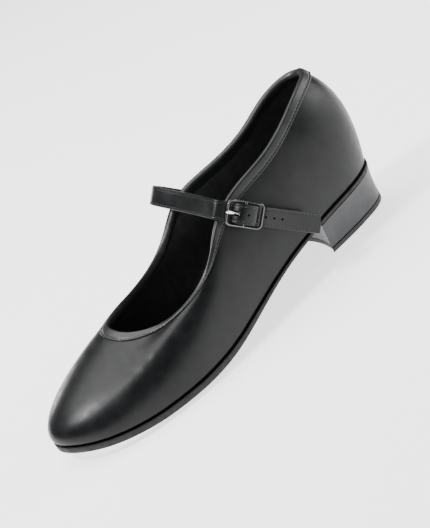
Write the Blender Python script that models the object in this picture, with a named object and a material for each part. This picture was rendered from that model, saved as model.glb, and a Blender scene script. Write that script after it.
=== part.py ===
"""Mary Jane tap shoe, left foot, as an assembly of the pieces it is made from.

Frame: the toe points to -X, the buckle (outer) side is -Y, +Z is up.  The origin is under the
middle of the shoe, on the plane of the tap faces.  Lengths are written in millimetres and turned
into metres when a mesh is made.

The shoe is described the way a last is: 13 stations run round each side from the back of the heel
to the tip of the toe.  A station holds a point of the feather line, where the upper meets the
sole, a point of the topline, and how far the wall between the two swells.
"""
import math

import bmesh
import bpy
import numpy as np
from mathutils import Vector

MM = 0.001

# ---------------------------------------------------------------- driving dimensions, in mm
GAP = 0.3                # clearance between pieces that touch
UPPER_T = 1.4            # leather of the upper
LINING_T = 0.9
COUNTER_T = 1.3          # heel stiffener
PUFF_T = 1.0             # toe stiffener
INSOLE_T = 1.8           # insole board
SOCK_T = 1.2
FILLER_T = 2.2
FILLER_BACK = -12.0      # the filler lies ahead of this x
SHANK_T, SHANK_W = 1.5, 13.0
SHANK_FRONT, SHANK_BACK = -6.0, 90.0
TAP_T = 2.0
LIFT_T = 3.0             # top lift under the heel block
BINDING_T, BINDING_W = 0.8, 5.0
ORIGIN = np.array([0.91, -1.29, 0.0])      # middle of the finished shoe's plan
MARGIN = 10.0            # lasting margin of the upper, turned in under the insole
BOARD_INSET = 5.8        # insole board and sock, in from the feather line
RIM = 0.8                # how far the outsole stands out past the feather line

RING = 64                # sections round the shoe
HALF = RING // 2
STIFF = UPPER_T + GAP    # depth of the stiffeners' outer face below the upper's

# Feather line: x, y on the outer side, y on the inner side, from the back to the toe.
FEATHER = [
    (119.5, 1.0, 1.0), (115.3, -10.0, 12.0), (103.5, -18.0, 20.5), (80.0, -23.0, 25.0),
    (55.0, -25.0, 24.0), (28.0, -26.5, 21.0), (0.0, -31.5, 23.0), (-28.0, -38.0, 30.5),
    (-56.0, -39.5, 37.0), (-82.0, -34.5, 34.5), (-104.0, -24.5, 27.0), (-116.3, -12.5, 16.0),
    (-121.8, 1.5, 1.5)]
# Topline on each side: x, y, z at the same stations.
TOP_OUTER = [
    (113.0, 1.0, 93.5), (109.5, -7.5, 93.5), (97.0, -15.5, 91.3), (77.0, -22.0, 84.5),
    (56.0, -25.5, 78.5), (33.0, -24.5, 73.5), (14.0, -26.0, 66.0), (0.5, -28.5, 56.0),
    (-14.0, -29.5, 46.5), (-31.0, -27.0, 41.0), (-46.0, -18.5, 39.0), (-57.0, -8.5, 41.5),
    (-61.0, 3.0, 44.0)]
TOP_INNER = [
    (113.0, 1.0, 93.5), (109.0, 9.0, 93.0), (96.0, 15.0, 90.0), (75.0, 19.0, 81.0),
    (54.0, 21.5, 75.5), (31.0, 23.5, 73.5), (14.0, 24.5, 68.5), (-1.0, 24.5, 57.0),
    (-18.0, 23.5, 48.5), (-35.0, 22.0, 45.0), (-49.0, 18.5, 44.5), (-58.5, 12.0, 44.5),
    (-61.0, 3.0, 44.0)]
# Wall between them: swell and height of the lower handle, reach back along the plan, swell and
# drop of the upper handle.
WALL_OUTER = [
    (5.0, 20, 0.00, 17.0, 20), (5.0, 20, 0.00, 16.0, 20), (6.0, 20, 0.00, 12.0, 20),
    (6.0, 18, 0.00, 7.0, 20), (6.0, 18, 0.00, 4.5, 20), (5.0, 20, 0.00, 4.0, 22),
    (4.0, 18, 0.10, 4.0, 20), (2.5, 16, 0.25, 4.5, 15), (2.0, 14, 0.40, 4.0, 8),
    (2.5, 14, 0.50, 2.0, 4), (4.0, 14, 0.52, 0.0, 4), (5.5, 14, 0.52, 0.0, 6),
    (6.0, 14, 0.52, 0.0, 7)]
WALL_INNER = [
    (5.0, 20, 0.00, 17.0, 20), (5.0, 20, 0.00, 15.0, 20), (5.0, 20, 0.00, 11.0, 20),
    (5.0, 18, 0.00, 7.0, 20), (6.0, 18, 0.00, 5.0, 20), (8.0, 20, 0.00, 4.5, 22),
    (8.0, 20, 0.10, 4.5, 20), (6.0, 20, 0.25, 4.5, 15), (4.0, 18, 0.40, 4.0, 10),
    (3.0, 16, 0.50, 2.0, 6), (4.0, 14, 0.52, 0.0, 6), (5.5, 14, 0.52, 0.0, 6),
    (6.0, 14, 0.52, 0.0, 7)]
# Underside of the outsole: x, z.  It rests on the taps, arches at the waist and springs at the toe.
SOLE_UNDER = [
    (-126, 10.0), (-110, 6.5), (-92, 3.8), (-72, 2.3), (-45, 2.3), (-22, 3.6), (0, 7.6),
    (20, 13.0), (40, 18.4), (60, 22.2), (78, 24.2), (96, 25.0), (124, 25.8)]
SOLE_THICK = [(-126, 4.0), (-30, 4.0), (0, 3.2), (30, 2.2), (124, 2.2)]

# Stiffeners: sections each reaches to either side of back or tip, and its first row down.
COUNTER_REACH, COUNTER_ROW = 9, 2
PUFF_REACH, PUFF_ROW = 7, 4

# Rows of a section: a binding's width below the topline, then shares of what is left.
ROW_SHARES = (0.0, 0.13, 0.28, 0.44, 0.6, 0.76, 0.89, 1.0)

# Heel: x of its front face, hollow of that face, taper of its sides from seat to lift.
BREAST_X, BREAST_HOLLOW, BREAST_R = 66.0, 4.0, 72.0
HEEL_TAPER = 4.0         # at the sides; the back stands nearly upright
HEEL_HEIGHT = 22.0       # height the taper is spread over
HEEL_STEPS = 10          # points along each side of the heel
SEAT_GAP = 1.4 * GAP     # between the curved seat of the heel and the outsole
SEAT_INSET = 0.4         # heel's seat in from the outsole's edge
TAP_INSET = 5.0
TOE_TAP_END = 9          # sections the toe tap reaches back from the tip

# The strap is a flat ribbon bent in one plane.  That plane is square to the ribbon's width, which
# leans back by STRAP_LEAN from upright.  Its paths are lists of (a, b): a runs outward to the
# buckle side, b runs back and down.
STRAP_LEAN = math.radians(44.0)
STRAP_OUT = np.array([0.0, -1.0, 0.0])
STRAP_DOWN = np.array([math.cos(STRAP_LEAN), 0.0, -math.sin(STRAP_LEAN)])
STRAP_WIDE = np.array([math.sin(STRAP_LEAN), 0.0, math.cos(STRAP_LEAN)])
STRAP_MID = 63.7         # distance of the ribbon's middle line along STRAP_WIDE
STRAP_W, STRAP_T = 11.0, 2.0
STRAP_PATH = [
    (-28.4, -10.0), (-28.4, -20.0), (-28.5, -27.5), (-30.6, -33.0), (-33.4, -36.4),
    (-34.8, -39.8), (-34.5, -43.1), (-32.7, -46.1), (-29.4, -48.0), (-25.4, -48.0),
    (-12.0, -44.2), (4.0, -41.2), (16.0, -39.9), (23.5, -39.3), (27.2, -38.2)]
# Buckle: middle of its centre bar in (a, b), and the run of the strap through it.
BUCKLE = np.array([34.5, -25.1])
BUCKLE_RUN = np.array([0.252, 0.968])
BUCKLE_FACE = np.array([0.968, -0.252])
STRAP_WAVE = [                           # the strap's middle through the buckle: along, out
    (-9.8, -1.85), (-8.2, -1.8), (-6.8, -1.1), (-5.4, 0.6), (-4.0, 2.3), (-2.2, 3.2), (0.0, 3.4),
    (2.6, 3.15), (4.8, 2.3), (6.4, 0.6), (7.8, -1.1), (9.8, -1.9)]
BAR_REACH = 9.8          # from the centre bar to each end bar
BAR_RISE = 0.8
BAR_R, CENTRE_BAR_R = 0.75, 0.9
ARM_REACH = 6.6
LOOP_R = 1.6             # middle of what is wrapped round the centre bar
BUCKLE_CORNER = 2.4      # radius of the frame's corners
TAIL_START = 13.8
TAIL_END = (36.0, 22.9)
HOLE_R, HOLE_AT = 0.9, (1.3, 6.5, 11.6, 17.2, 22.4)
PUNCH_REACH = 3.0        # punches pass this far to either side of the strap's middle
SLOT_REACH = 6.0         # slot cutters reach this far above and below the centre bar
PRONG_SLOT = (-7.2, -2.9, 1.35)          # from, to and half width
PRONG_T, PRONG_W = 0.8, 1.8
CHAPE_T = 0.8
CHAPE_W = STRAP_W - 1.2
CHAPE_SLOT = (-4.0, 2.3, 1.3)


# ---------------------------------------------------------------- curves and surfaces
def cubic(knots, values, at, period=None):
    """Smooth curve through values at knots, read at the given places; closed if it has a period."""
    knots = np.asarray(knots, float)
    values = np.asarray(values, float)
    if values.ndim == 1:
        values = values[:, None]
    at = np.asarray(at, float)
    if period:
        knots = np.append(knots, knots[0] + period)
        values = np.concatenate([values, values[:1]])
        at = (at - knots[0]) % period + knots[0]
    step = np.diff(knots)
    slope = np.diff(values, axis=0) / step[:, None]
    count = len(knots)
    matrix = np.eye(count)
    right = np.zeros_like(values)
    for i in range(1, count - 1):
        matrix[i, i - 1:i + 2] = step[i - 1], 2 * (step[i - 1] + step[i]), step[i]
        right[i] = 6 * (slope[i] - slope[i - 1])
    if period:
        matrix[0, 0] = 2 * (step[-1] + step[0])
        matrix[0, 1] = step[0]
        matrix[0, -2] = step[-1]
        right[0] = 6 * (slope[0] - slope[-1])
        matrix[-1, 0] = -1
    bend = np.linalg.solve(matrix, right)
    i = np.clip(np.searchsorted(knots, at, side="right") - 1, 0, count - 2)
    t = (at - knots[i])[:, None]
    width = step[i][:, None]
    rise = slope[i] - width * (2 * bend[i] + bend[i + 1]) / 6
    return values[i] + rise * t + bend[i] * t ** 2 / 2 + (bend[i + 1] - bend[i]) * t ** 3 / (6 * width)


def both_sides(outer, inner):
    """The stations in order round the shoe: back, outer side, toe, inner side."""
    return np.array(list(outer) + list(inner)[-2:0:-1], float)


def side_lengths():
    """Distance from the back to each station, the mean of the two sides, as a share of one."""
    table = np.array(FEATHER)
    total = np.zeros(len(table))
    for column in (1, 2):
        points = table[:, [0, column]]
        steps = np.linalg.norm(np.diff(points, axis=0), axis=1)
        total += np.concatenate([[0.0], np.cumsum(steps)])
    return total / total[-1]


SHARES = side_lengths() / 2
KNOTS = np.concatenate([SHARES, 1 - SHARES[-2:0:-1]])


def sole_under(x):
    """Height of the outsole's underside."""
    knots, heights = zip(*SOLE_UNDER)
    curve = cubic(knots, heights, np.clip(x, knots[0], knots[-1]))[:, 0]
    return np.maximum(curve, TAP_T + GAP)


def sole_top(x):
    return sole_under(x) + np.interp(x, *zip(*SOLE_THICK))


def feather(u):
    """Points of the feather line and the outward direction in plan at each."""
    table = np.array(FEATHER)
    plan = both_sides(table[:, [0, 1]], table[:, [0, 2]])
    here = cubic(KNOTS, plan, u, 1.0)
    ahead = cubic(KNOTS, plan, u + 0.002, 1.0) - cubic(KNOTS, plan, u - 0.002, 1.0)
    ahead /= np.linalg.norm(ahead, axis=1)[:, None]
    points = np.column_stack([here, sole_top(here[:, 0]) + GAP])
    outward = np.column_stack([-ahead[:, 1], ahead[:, 0], np.zeros(len(u))])
    return points, outward


def wall(u, rows=ROW_SHARES):
    """Outer surface of the upper: rows of points from the topline down to the feather line."""
    low, outward = feather(u)
    top = cubic(KNOTS, both_sides(TOP_OUTER, TOP_INNER), u, 1.0)
    shape = cubic(KNOTS, both_sides(WALL_OUTER, WALL_INNER), u, 1.0)
    up = np.array([0.0, 0.0, 1.0])
    level = (low - top) * [1, 1, 0]
    low_handle = low + outward * shape[:, [0]] + up * shape[:, [1]]
    top_handle = top + level * shape[:, [2]] + outward * shape[:, [3]] - up * shape[:, [4]]
    t = np.linspace(0, 1, 61)[:, None, None]
    fine = ((1 - t) ** 3 * top + 3 * (1 - t) ** 2 * t * top_handle
            + 3 * (1 - t) * t ** 2 * low_handle + t ** 3 * low)
    run = np.linalg.norm(np.diff(fine, axis=0), axis=2)
    run = np.concatenate([np.zeros((1, len(u))), np.cumsum(run, axis=0)])
    grid = np.zeros((len(rows) + 1, len(u), 3))
    for i in range(len(u)):
        stops = [0.0] + [BINDING_W + share * (run[-1, i] - BINDING_W) for share in rows]
        for axis in range(3):
            grid[:, i, axis] = np.interp(stops, run[:, i], fine[:, i, axis])
    return grid


def wall_normals(grid):
    along = np.roll(grid, -1, axis=1) - np.roll(grid, 1, axis=1)
    down = np.gradient(grid, axis=0)
    normal = np.cross(along, down)
    return normal / np.linalg.norm(normal, axis=2)[:, :, None]


U = np.arange(RING) / RING
LOW, OUTWARD = feather(U)
WALL = wall(U)
NORMAL = wall_normals(WALL)
ROWS = len(WALL)


# ---------------------------------------------------------------- meshes
def material(name, colour, roughness, metallic=0.0):
    mat = bpy.data.materials.new(name)
    mat.use_nodes = True
    mat.diffuse_color = (*colour, 1.0)
    shader = mat.node_tree.nodes["Principled BSDF"]
    shader.inputs["Base Color"].default_value = (*colour, 1.0)
    shader.inputs["Roughness"].default_value = roughness
    shader.inputs["Metallic"].default_value = metallic
    return mat


def solid(name, points, faces, look, origin=(0, 0, 0), smooth=True):
    """Object from points in mm and faces; its origin is put where its joint turns."""
    origin = np.array(origin, float)
    mesh = bpy.data.meshes.new(name)
    mesh.from_pydata([tuple((np.array(p) - origin) * MM) for p in points], [], faces)
    bm = bmesh.new()
    bm.from_mesh(mesh)
    bmesh.ops.remove_doubles(bm, verts=bm.verts, dist=1e-7)
    bmesh.ops.recalc_face_normals(bm, faces=bm.faces)
    bm.to_mesh(mesh)
    bm.free()
    mesh.materials.append(look)
    if smooth:
        mesh.shade_smooth()
        mesh.set_sharp_from_angle(angle=math.radians(40))
    obj = bpy.data.objects.new(name, mesh)
    obj.location = Vector(origin - ORIGIN) * MM
    bpy.context.scene.collection.objects.link(obj)
    return obj


def sweep(name, sections, look, closed):
    """Solid swept through sections of equal length, which list one face out and the other back."""
    count, size = len(sections), len(sections[0])
    faces = []
    for s in range(count if closed else count - 1):
        after = (s + 1) % count
        for k in range(size):
            nxt = (k + 1) % size
            faces.append((s * size + k, s * size + nxt, after * size + nxt, after * size + k))
    if not closed:
        for start in (0, (count - 1) * size):
            for k in range(size // 2 - 1):
                back = size - 1 - k
                faces.append((start + k, start + k + 1, start + back - 1, start + back))
    points = [p for section in sections for p in section]
    return solid(name, points, faces, look)


def plate(name, top, bottom, look, origin=(0, 0, 0)):
    """Solid between two ladders; each rung is a pair of points, and an end rung may be one point."""
    count = len(top)
    points = list(np.reshape(top, (-1, 3))) + list(np.reshape(bottom, (-1, 3)))
    under = 2 * count
    faces = []
    for rung in range(count - 1):
        a, b, c, d = 2 * rung, 2 * rung + 1, 2 * rung + 3, 2 * rung + 2
        faces.append((a, b, c, d))
        faces.append((under + d, under + c, under + b, under + a))
        faces.append((a, d, under + d, under + a))
        faces.append((c, b, under + b, under + c))
    for rung in (0, count - 1):
        a, b = 2 * rung, 2 * rung + 1
        if np.linalg.norm(np.array(top[rung][0]) - top[rung][1]) > 1e-4:
            faces.append((a, b, under + b, under + a))
    return solid(name, points, faces, look, origin)


def rungs(loop):
    """Pair the points of a loop across the shoe, from the back to the toe."""
    return np.array([(loop[i], loop[-i % RING]) for i in range(HALF + 1)])


def raised(ladder, height):
    lifted = np.array(ladder, float)
    lifted[:, :, 2] += height
    return lifted


def bottom_points(points, inset, lift=0.0):
    """Points on the bottom profile, moved in from the feather line and lifted off the outsole."""
    moved = points[0] - points[1] * inset
    moved[..., 2] = sole_top(moved[..., 0]) + GAP + lift
    return moved


def inset_loop(inset):
    return bottom_points((LOW, OUTWARD), inset)


def turned(name, profile, place, look, sides=12):
    """Turned piece, its axis upright through place; the profile lists radius and height."""
    points, faces = [], []
    for radius, height in profile:
        for k in range(sides):
            angle = 2 * math.pi * k / sides
            offset = np.array([radius * math.cos(angle), radius * math.sin(angle), height])
            points.append(np.array(place) + offset)
    for level in range(len(profile) - 1):
        for k in range(sides):
            nxt = (k + 1) % sides
            low, high = level * sides, (level + 1) * sides
            faces.append((low + k, low + nxt, high + nxt, high + k))
    faces.append(tuple(range(sides)))
    faces.append(tuple(range((len(profile) - 1) * sides, len(profile) * sides)))
    return solid(name, points, faces, look)


def hide_cutter(cutter):
    cutter.hide_render = True
    cutter.display_type = "WIRE"


def cut(target, cutter):
    hide_cutter(cutter)
    boolean = target.modifiers.new("cut_" + cutter.name, "BOOLEAN")
    boolean.operation = "DIFFERENCE"
    boolean.object = cutter


def fastener(name, profile, place, look, hosts):
    """A screw or nail, and the clearance hole for it in each piece that it passes through."""
    turned(name, profile, place, look)
    first, last = profile[0][1], profile[-1][1]
    hole = [(r + GAP, z) for r, z in profile]
    hole[0] = (profile[0][0] + GAP, first - math.copysign(2.0, last - first))
    hole[-1] = (profile[-1][0] + GAP, last + math.copysign(GAP, last - first))
    cutter = turned("hole_" + name, hole, place, look)
    for host in hosts:
        cut(host, cutter)


# ---------------------------------------------------------------- upper and what lines it
def stiffened():
    """1 where a stiffener lies between upper and lining, 0 elsewhere, for each wall point."""
    mask = np.zeros((ROWS, RING))
    for i in range(RING):
        from_back = min(i, RING - i)
        if from_back <= COUNTER_REACH:
            mask[COUNTER_ROW:, i] = 1
        if HALF - from_back <= PUFF_REACH:
            mask[PUFF_ROW:, i] = 1
    return mask


def wall_at(depth):
    """The wall's points moved inward by a depth, one number or one for each point."""
    depth = np.broadcast_to(depth, (ROWS, RING))
    return WALL - NORMAL * depth[:, :, None]


def lasted_shell(name, look, outer, inner, lift, corner, thickness, margin):
    """A wall of the shoe with its lasting margin turned in along the bottom."""
    feather_line = (LOW, OUTWARD)
    turn = bottom_points(feather_line, corner, lift)
    turn_inside = bottom_points(feather_line, corner + thickness, lift + thickness)
    end = bottom_points(feather_line, margin, lift)
    end_inside = bottom_points(feather_line, margin, lift + thickness)
    sections = []
    for i in range(RING):
        side = [outer[row, i] for row in range(ROWS - 1)]
        back = [inner[row, i] for row in range(ROWS - 1)]
        foot = [turn[i], end[i], end_inside[i], turn_inside[i]]
        sections.append(side + foot + back[::-1])
    return sweep(name, sections, look, closed=True)


def stiffener(name, look, columns, first_row, thickness):
    outer, inner = wall_at(STIFF), wall_at(STIFF + thickness)
    foot = bottom_points((LOW, OUTWARD), STIFF, STIFF + GAP)
    foot_inside = bottom_points((LOW, OUTWARD), STIFF + thickness, STIFF + GAP)
    sections = []
    for i in columns:
        side = [outer[row, i] for row in range(first_row, ROWS - 1)] + [foot[i]]
        back = [inner[row, i] for row in range(first_row, ROWS - 1)] + [foot_inside[i]]
        sections.append(side + back[::-1])
    return sweep(name, sections, look, closed=False)


def topline_binding(look):
    """Folded strip over the edges of upper and lining all round the opening."""
    sections = []
    inside = UPPER_T + GAP + LINING_T + GAP
    for i in range(RING):
        edge, below = WALL[0, i], WALL[1, i]
        rise = (edge - below) / np.linalg.norm(edge - below)
        out_edge, out_below = NORMAL[0, i], NORMAL[1, i]
        skin = GAP + BINDING_T
        sections.append([
            below + out_below * GAP, below + out_below * skin,
            edge + out_edge * skin, edge + out_edge * 0.1 + rise * skin,
            edge - out_edge * (inside - GAP) + rise * skin,
            edge - out_edge * (inside + BINDING_T), below - out_below * (inside + BINDING_T),
            below - out_below * inside,
            edge - out_edge * inside + rise * GAP, edge + out_edge * GAP + rise * GAP])
    return sweep("topline_binding", sections, look, closed=True)


# ---------------------------------------------------------------- bottom
def bottom_pieces(looks):
    """Outsole, insole board, sock, shank and filler, stacked on the bottom profile."""
    lining_z = UPPER_T + GAP + LINING_T + GAP
    board = rungs(inset_loop(BOARD_INSET))
    insole = plate("insole_board", raised(board, lining_z + INSOLE_T), raised(board, lining_z),
                   looks["board"])
    sock_z = lining_z + INSOLE_T + GAP
    plate("sock_lining", raised(board, sock_z + SOCK_T), raised(board, sock_z), looks["sock"])

    rim = inset_loop(-RIM)
    rim[:, 2] = sole_top(LOW[:, 0])
    under = rim.copy()
    under[:, 2] = sole_under(LOW[:, 0])
    outsole = plate("outsole", rungs(rim), rungs(under), looks["sole"])

    filler = rungs(inset_loop(MARGIN + 1.0))
    front = [r for r in range(HALF + 1) if filler[r, :, 0].mean() < FILLER_BACK]
    plate("bottom_filler", raised(filler[front], FILLER_T), filler[front], looks["cork"])

    spine = filler.mean(axis=1)
    rear = [r for r in range(HALF + 1) if SHANK_FRONT < spine[r, 0] < SHANK_BACK]
    half = np.array([0, SHANK_W / 2, 0])
    strip = np.array([(spine[r] - half, spine[r] + half) for r in rear])
    plate("steel_shank", raised(strip, SHANK_T), strip, looks["steel"])
    return insole, outsole


def heel_rungs(inset, z=None, front=BREAST_X):
    """Ladder of the heel's outline, from its back to its front."""
    dense = np.linspace(0, 0.5, 401)
    sides = []
    for direction in (1, -1):
        x = feather(direction * dense)[0][:, 0]
        reach = dense[np.argmax(x < front)]
        points, outward = feather(direction * np.linspace(0, reach, HEEL_STEPS))
        at_back = np.clip(1 - np.linspace(0, 2, HEEL_STEPS), 0, 1)[:, None]
        points = points - outward * (inset * (1 - at_back) + min(inset, 1.0) * at_back)
        points[-1, 0] = front
        sides.append(points)
    ladder = np.stack(sides, axis=1)
    ladder[0] = ladder[0].mean(axis=0)
    ladder[:, :, 2] = sole_under(ladder[:, :, 0].ravel()).reshape(-1, 2) - SEAT_GAP
    if z is not None:
        ladder[:, :, 2] = z
    return ladder


def breast_cutter(look):
    """Upright drum that hollows the front face of the heel."""
    middle = feather(np.array([0.0]))[0][0, 1]
    centre = (BREAST_X - BREAST_R + BREAST_HOLLOW, middle, 0)
    return turned("breast_drum", [(BREAST_R, -5), (BREAST_R, 40)], centre, look, sides=120)


def heel_pieces(looks):
    lift_low, lift_top = TAP_T + GAP, TAP_T + GAP + LIFT_T
    block = plate("heel_block", heel_rungs(SEAT_INSET - RIM), heel_rungs(HEEL_TAPER, lift_top + GAP),
                  looks["heel"])
    low_inset = HEEL_TAPER * (1 + LIFT_T / HEEL_HEIGHT)
    lift = plate("top_lift", heel_rungs(HEEL_TAPER - 0.3, lift_top),
                 heel_rungs(low_inset - 0.3, lift_low), looks["lift"])
    drum = breast_cutter(looks["heel"])
    cut(block, drum)
    cut(lift, drum)
    front = BREAST_X + BREAST_HOLLOW + TAP_INSET
    outline = heel_rungs(low_inset + TAP_INSET, TAP_T, front)
    outline[:, :, 0] -= TAP_INSET * (outline[:, :, 0] - front) / (outline[0, 0, 0] - front)
    tap = plate("heel_tap", outline, raised(outline, -TAP_T), looks["tap"])
    return block, lift, tap


def toe_tap(look):
    loop = inset_loop(TAP_INSET - RIM)
    loop[:, 2] = sole_under(loop[:, 0]) - GAP
    ladder = rungs(loop)[HALF - TOE_TAP_END:]
    return plate("toe_tap", ladder, raised(ladder, -TAP_T), look)


SCREW = [(2.6, 0.0), (2.6, 0.3), (1.2, 1.8), (1.2, 5.2)]
HEEL_SCREW = [(2.6, 0.0), (2.6, 0.3), (1.2, 1.8), (1.2, 11.0)]
NAIL = [(1.9, 0.0), (1.9, -0.7), (0.9, -0.7), (0.9, -14.0)]
HEEL_BOLT = [(2.8, 0.0), (2.8, -0.9), (1.6, -0.9), (1.6, -17.0)]
TOE_SCREWS = [(-112.0, 2.0), (-88.0, -20.0), (-88.0, 21.0)]
HEEL_SCREWS = [(104.0, 1.5), (85.0, -9.0), (85.0, 12.0)]
NAILS = [(76.0, -10.5), (76.0, 12.0), (96.0, -7.8), (96.0, 10.0)]
HEEL_BOLT_AT = (104.0, 1.5)


def fasteners(looks, insole, outsole, block, lift, heel_tap, front_tap):
    for number, (x, y) in enumerate(TOE_SCREWS, 1):
        z = sole_under(np.array([x]))[0] - GAP - TAP_T + 0.3
        fastener(f"toe_tap_screw_{number}", SCREW, (x, y, z), looks["steel"], [front_tap, outsole])
    for number, (x, y) in enumerate(HEEL_SCREWS, 1):
        fastener(f"heel_tap_screw_{number}", HEEL_SCREW, (x, y, 0.3), looks["steel"],
                 [heel_tap, lift, block])
    flush = UPPER_T + LINING_T + 2 * GAP + INSOLE_T - 0.2
    spots = [("heel_nail_%d" % n, NAIL, at) for n, at in enumerate(NAILS, 1)]
    spots.append(("heel_attaching_screw", HEEL_BOLT, HEEL_BOLT_AT))
    for name, profile, (x, y) in spots:
        z = sole_top(np.array([x]))[0] + GAP + flush
        fastener(name, profile, (x, y, z), looks["steel"], [insole, outsole, block])


# ---------------------------------------------------------------- strap and buckle
def strap_point(a, b, c=0.0):
    """Point in the shoe's frame from the strap's own coordinates."""
    return STRAP_OUT * a + STRAP_DOWN * b + STRAP_WIDE * (STRAP_MID + c)


def at_buckle(s, h):
    """(a, b) of a point s along the buckle and h out from it."""
    return BUCKLE + BUCKLE_RUN * s + BUCKLE_FACE * h


def wave(s):
    """Height of the strap's middle where it dips under the end bars and over the centre bar."""
    return float(cubic(*zip(*STRAP_WAVE), [s])[0, 0])


def smooth_path(points, spacing):
    points = np.array(points, float)
    run = np.concatenate([[0.0], np.cumsum(np.linalg.norm(np.diff(points, axis=0), axis=1))])
    count = max(2, round(run[-1] / spacing) + 1)
    return cubic(run, points, np.linspace(0, run[-1], count))


def ribbon(name, path, thickness, width, look, origin=(0, 0, 0)):
    """Strip of constant thickness along a path in the strap's plane."""
    path = np.array(path, float)
    ahead = np.gradient(path, axis=0)
    ahead /= np.linalg.norm(ahead, axis=1)[:, None]
    side = np.column_stack([ahead[:, 1], -ahead[:, 0]]) * thickness / 2
    ladders = []
    for edge in (width / 2, -width / 2):
        ladders.append([(strap_point(*(p + n), edge), strap_point(*(p - n), edge))
                        for p, n in zip(path, side)])
    return plate(name, ladders[0], ladders[1], look, origin)


def slot_box(name, slot, look):
    """Box cutter for a slot given by where it starts and ends and its half width."""
    start, end, half = slot
    corners = []
    for s in (start, end):
        for h in (-SLOT_REACH, SLOT_REACH):
            for c in (-half, half):
                corners.append(strap_point(*at_buckle(s, h), c))
    faces = [(0, 1, 3, 2), (4, 6, 7, 5), (0, 4, 5, 1), (2, 3, 7, 6), (0, 2, 6, 4), (1, 5, 7, 3)]
    return solid(name, corners, faces, look)


def strap_hole(name, middle, along, look):
    """Round punch through the strap at a point of its plane."""
    sides = 10
    face = np.array([along[1], -along[0]])
    points, faces = [], []
    for end in (-PUNCH_REACH, PUNCH_REACH):
        for k in range(sides):
            angle = 2 * math.pi * k / sides
            spot = middle + face * end + along * HOLE_R * math.cos(angle)
            points.append(strap_point(*spot, HOLE_R * math.sin(angle)))
    for k in range(sides):
        nxt = (k + 1) % sides
        faces.append((k, nxt, sides + nxt, sides + k))
    faces.append(tuple(range(sides)))
    faces.append(tuple(range(sides, 2 * sides)))
    return solid(name, points, faces, look)


def strap_pieces(looks):
    through = [at_buckle(s, wave(s)) for s, _ in STRAP_WAVE]
    rest = [at_buckle(12.0, -1.95), at_buckle(TAIL_START - GAP / 2, -2.3)]
    turn = [at_buckle(-11.8, -2.9)]
    path = smooth_path(STRAP_PATH + turn + through + rest, 2.2)
    strap = ribbon("instep_strap", path, STRAP_T, STRAP_W, looks["strap"])
    cut(strap, slot_box("prong_slot", PRONG_SLOT, looks["strap"]))

    start = at_buckle(TAIL_START + GAP / 2, -2.3)
    end = np.array(TAIL_END)
    along = (end - start) / np.linalg.norm(end - start)
    outer_face = np.array([along[1], -along[0]])
    pivot = strap_point(*(start - along * GAP / 2 + outer_face * STRAP_T / 2))
    tail_path = [start + (end - start) * t for t in np.linspace(0, 1, 9)]
    tail = ribbon("strap_tail", tail_path, STRAP_T, STRAP_W, looks["strap"], pivot)

    for number, s in enumerate(HOLE_AT, 1):
        on_tail = s > TAIL_START
        if on_tail:
            middle, run = start + along * (s - TAIL_START), along
        else:
            middle = at_buckle(s, wave(s) if s < BAR_REACH else -1.95)
            run = at_buckle(s + 0.5, wave(s + 0.5)) - at_buckle(s - 0.5, wave(s - 0.5))
            run = run / np.linalg.norm(run)
        cut(tail if on_tail else strap, strap_hole(f"punch_{number}", middle, run, looks["strap"]))


def arc(radius, start, stop, count):
    angles = np.radians(np.linspace(start, stop, count))
    return [(radius * math.cos(t), radius * math.sin(t)) for t in angles]


def buckle_pieces(looks):
    pivot = strap_point(*BUCKLE)
    chape = [(25, -10.2), (18, -8.7), (10, -6.2), (5.5, -3.9), (2.6, -2.3)]
    chape += arc(LOOP_R, -75, -320, 11)
    chape += [(3.0, -0.55), (6.0, -2.7), (10, -4.8), (18, -7.4), (25, -9.0)]
    path = [at_buckle(s, h) for s, h in chape]
    tab = ribbon("buckle_chape", path, CHAPE_T, CHAPE_W, looks["strap"])
    cut(tab, slot_box("chape_slot", CHAPE_SLOT, looks["strap"]))

    tongue = arc(LOOP_R, 60, -170, 11)
    over_bar = BAR_RISE + BAR_R + GAP + 0.45
    tongue += [(-2.1, 0.7), (-4.0, 0.75), (-6.4, 1.2), (-8.6, 1.75), (-BAR_REACH - 1.2, over_bar)]
    path = [at_buckle(s, h) for s, h in tongue]
    ribbon("buckle_prong", path, PRONG_T, PRONG_W, looks["prong"], pivot)

    frame = buckle_frame(looks["buckle"], pivot)
    bar = centre_bar(looks["buckle"])
    hide_cutter(bar)
    join = frame.modifiers.new("join_bar", "BOOLEAN")
    join.operation = "UNION"
    join.object = bar


def tube_ring(centres, radius, sides):
    """Rings of points round a closed path in the buckle's plane, each square to the path."""
    centres = np.array(centres)
    ahead = np.roll(centres, -1, axis=0) - np.roll(centres, 1, axis=0)
    ahead /= np.linalg.norm(ahead, axis=1)[:, None]
    face = np.array([0.0, 1.0, 0.0])
    sections = []
    for centre, forward in zip(centres, ahead):
        side = np.cross(forward, face)
        side /= np.linalg.norm(side)
        up = np.cross(side, forward)
        ring = []
        for k in range(sides):
            angle = 2 * math.pi * (k + 0.5) / sides
            s, h, c = centre + radius * (math.cos(angle) * side + math.sin(angle) * up)
            ring.append(strap_point(*at_buckle(s, h), c))
        sections.append(ring)
    return sections


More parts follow.
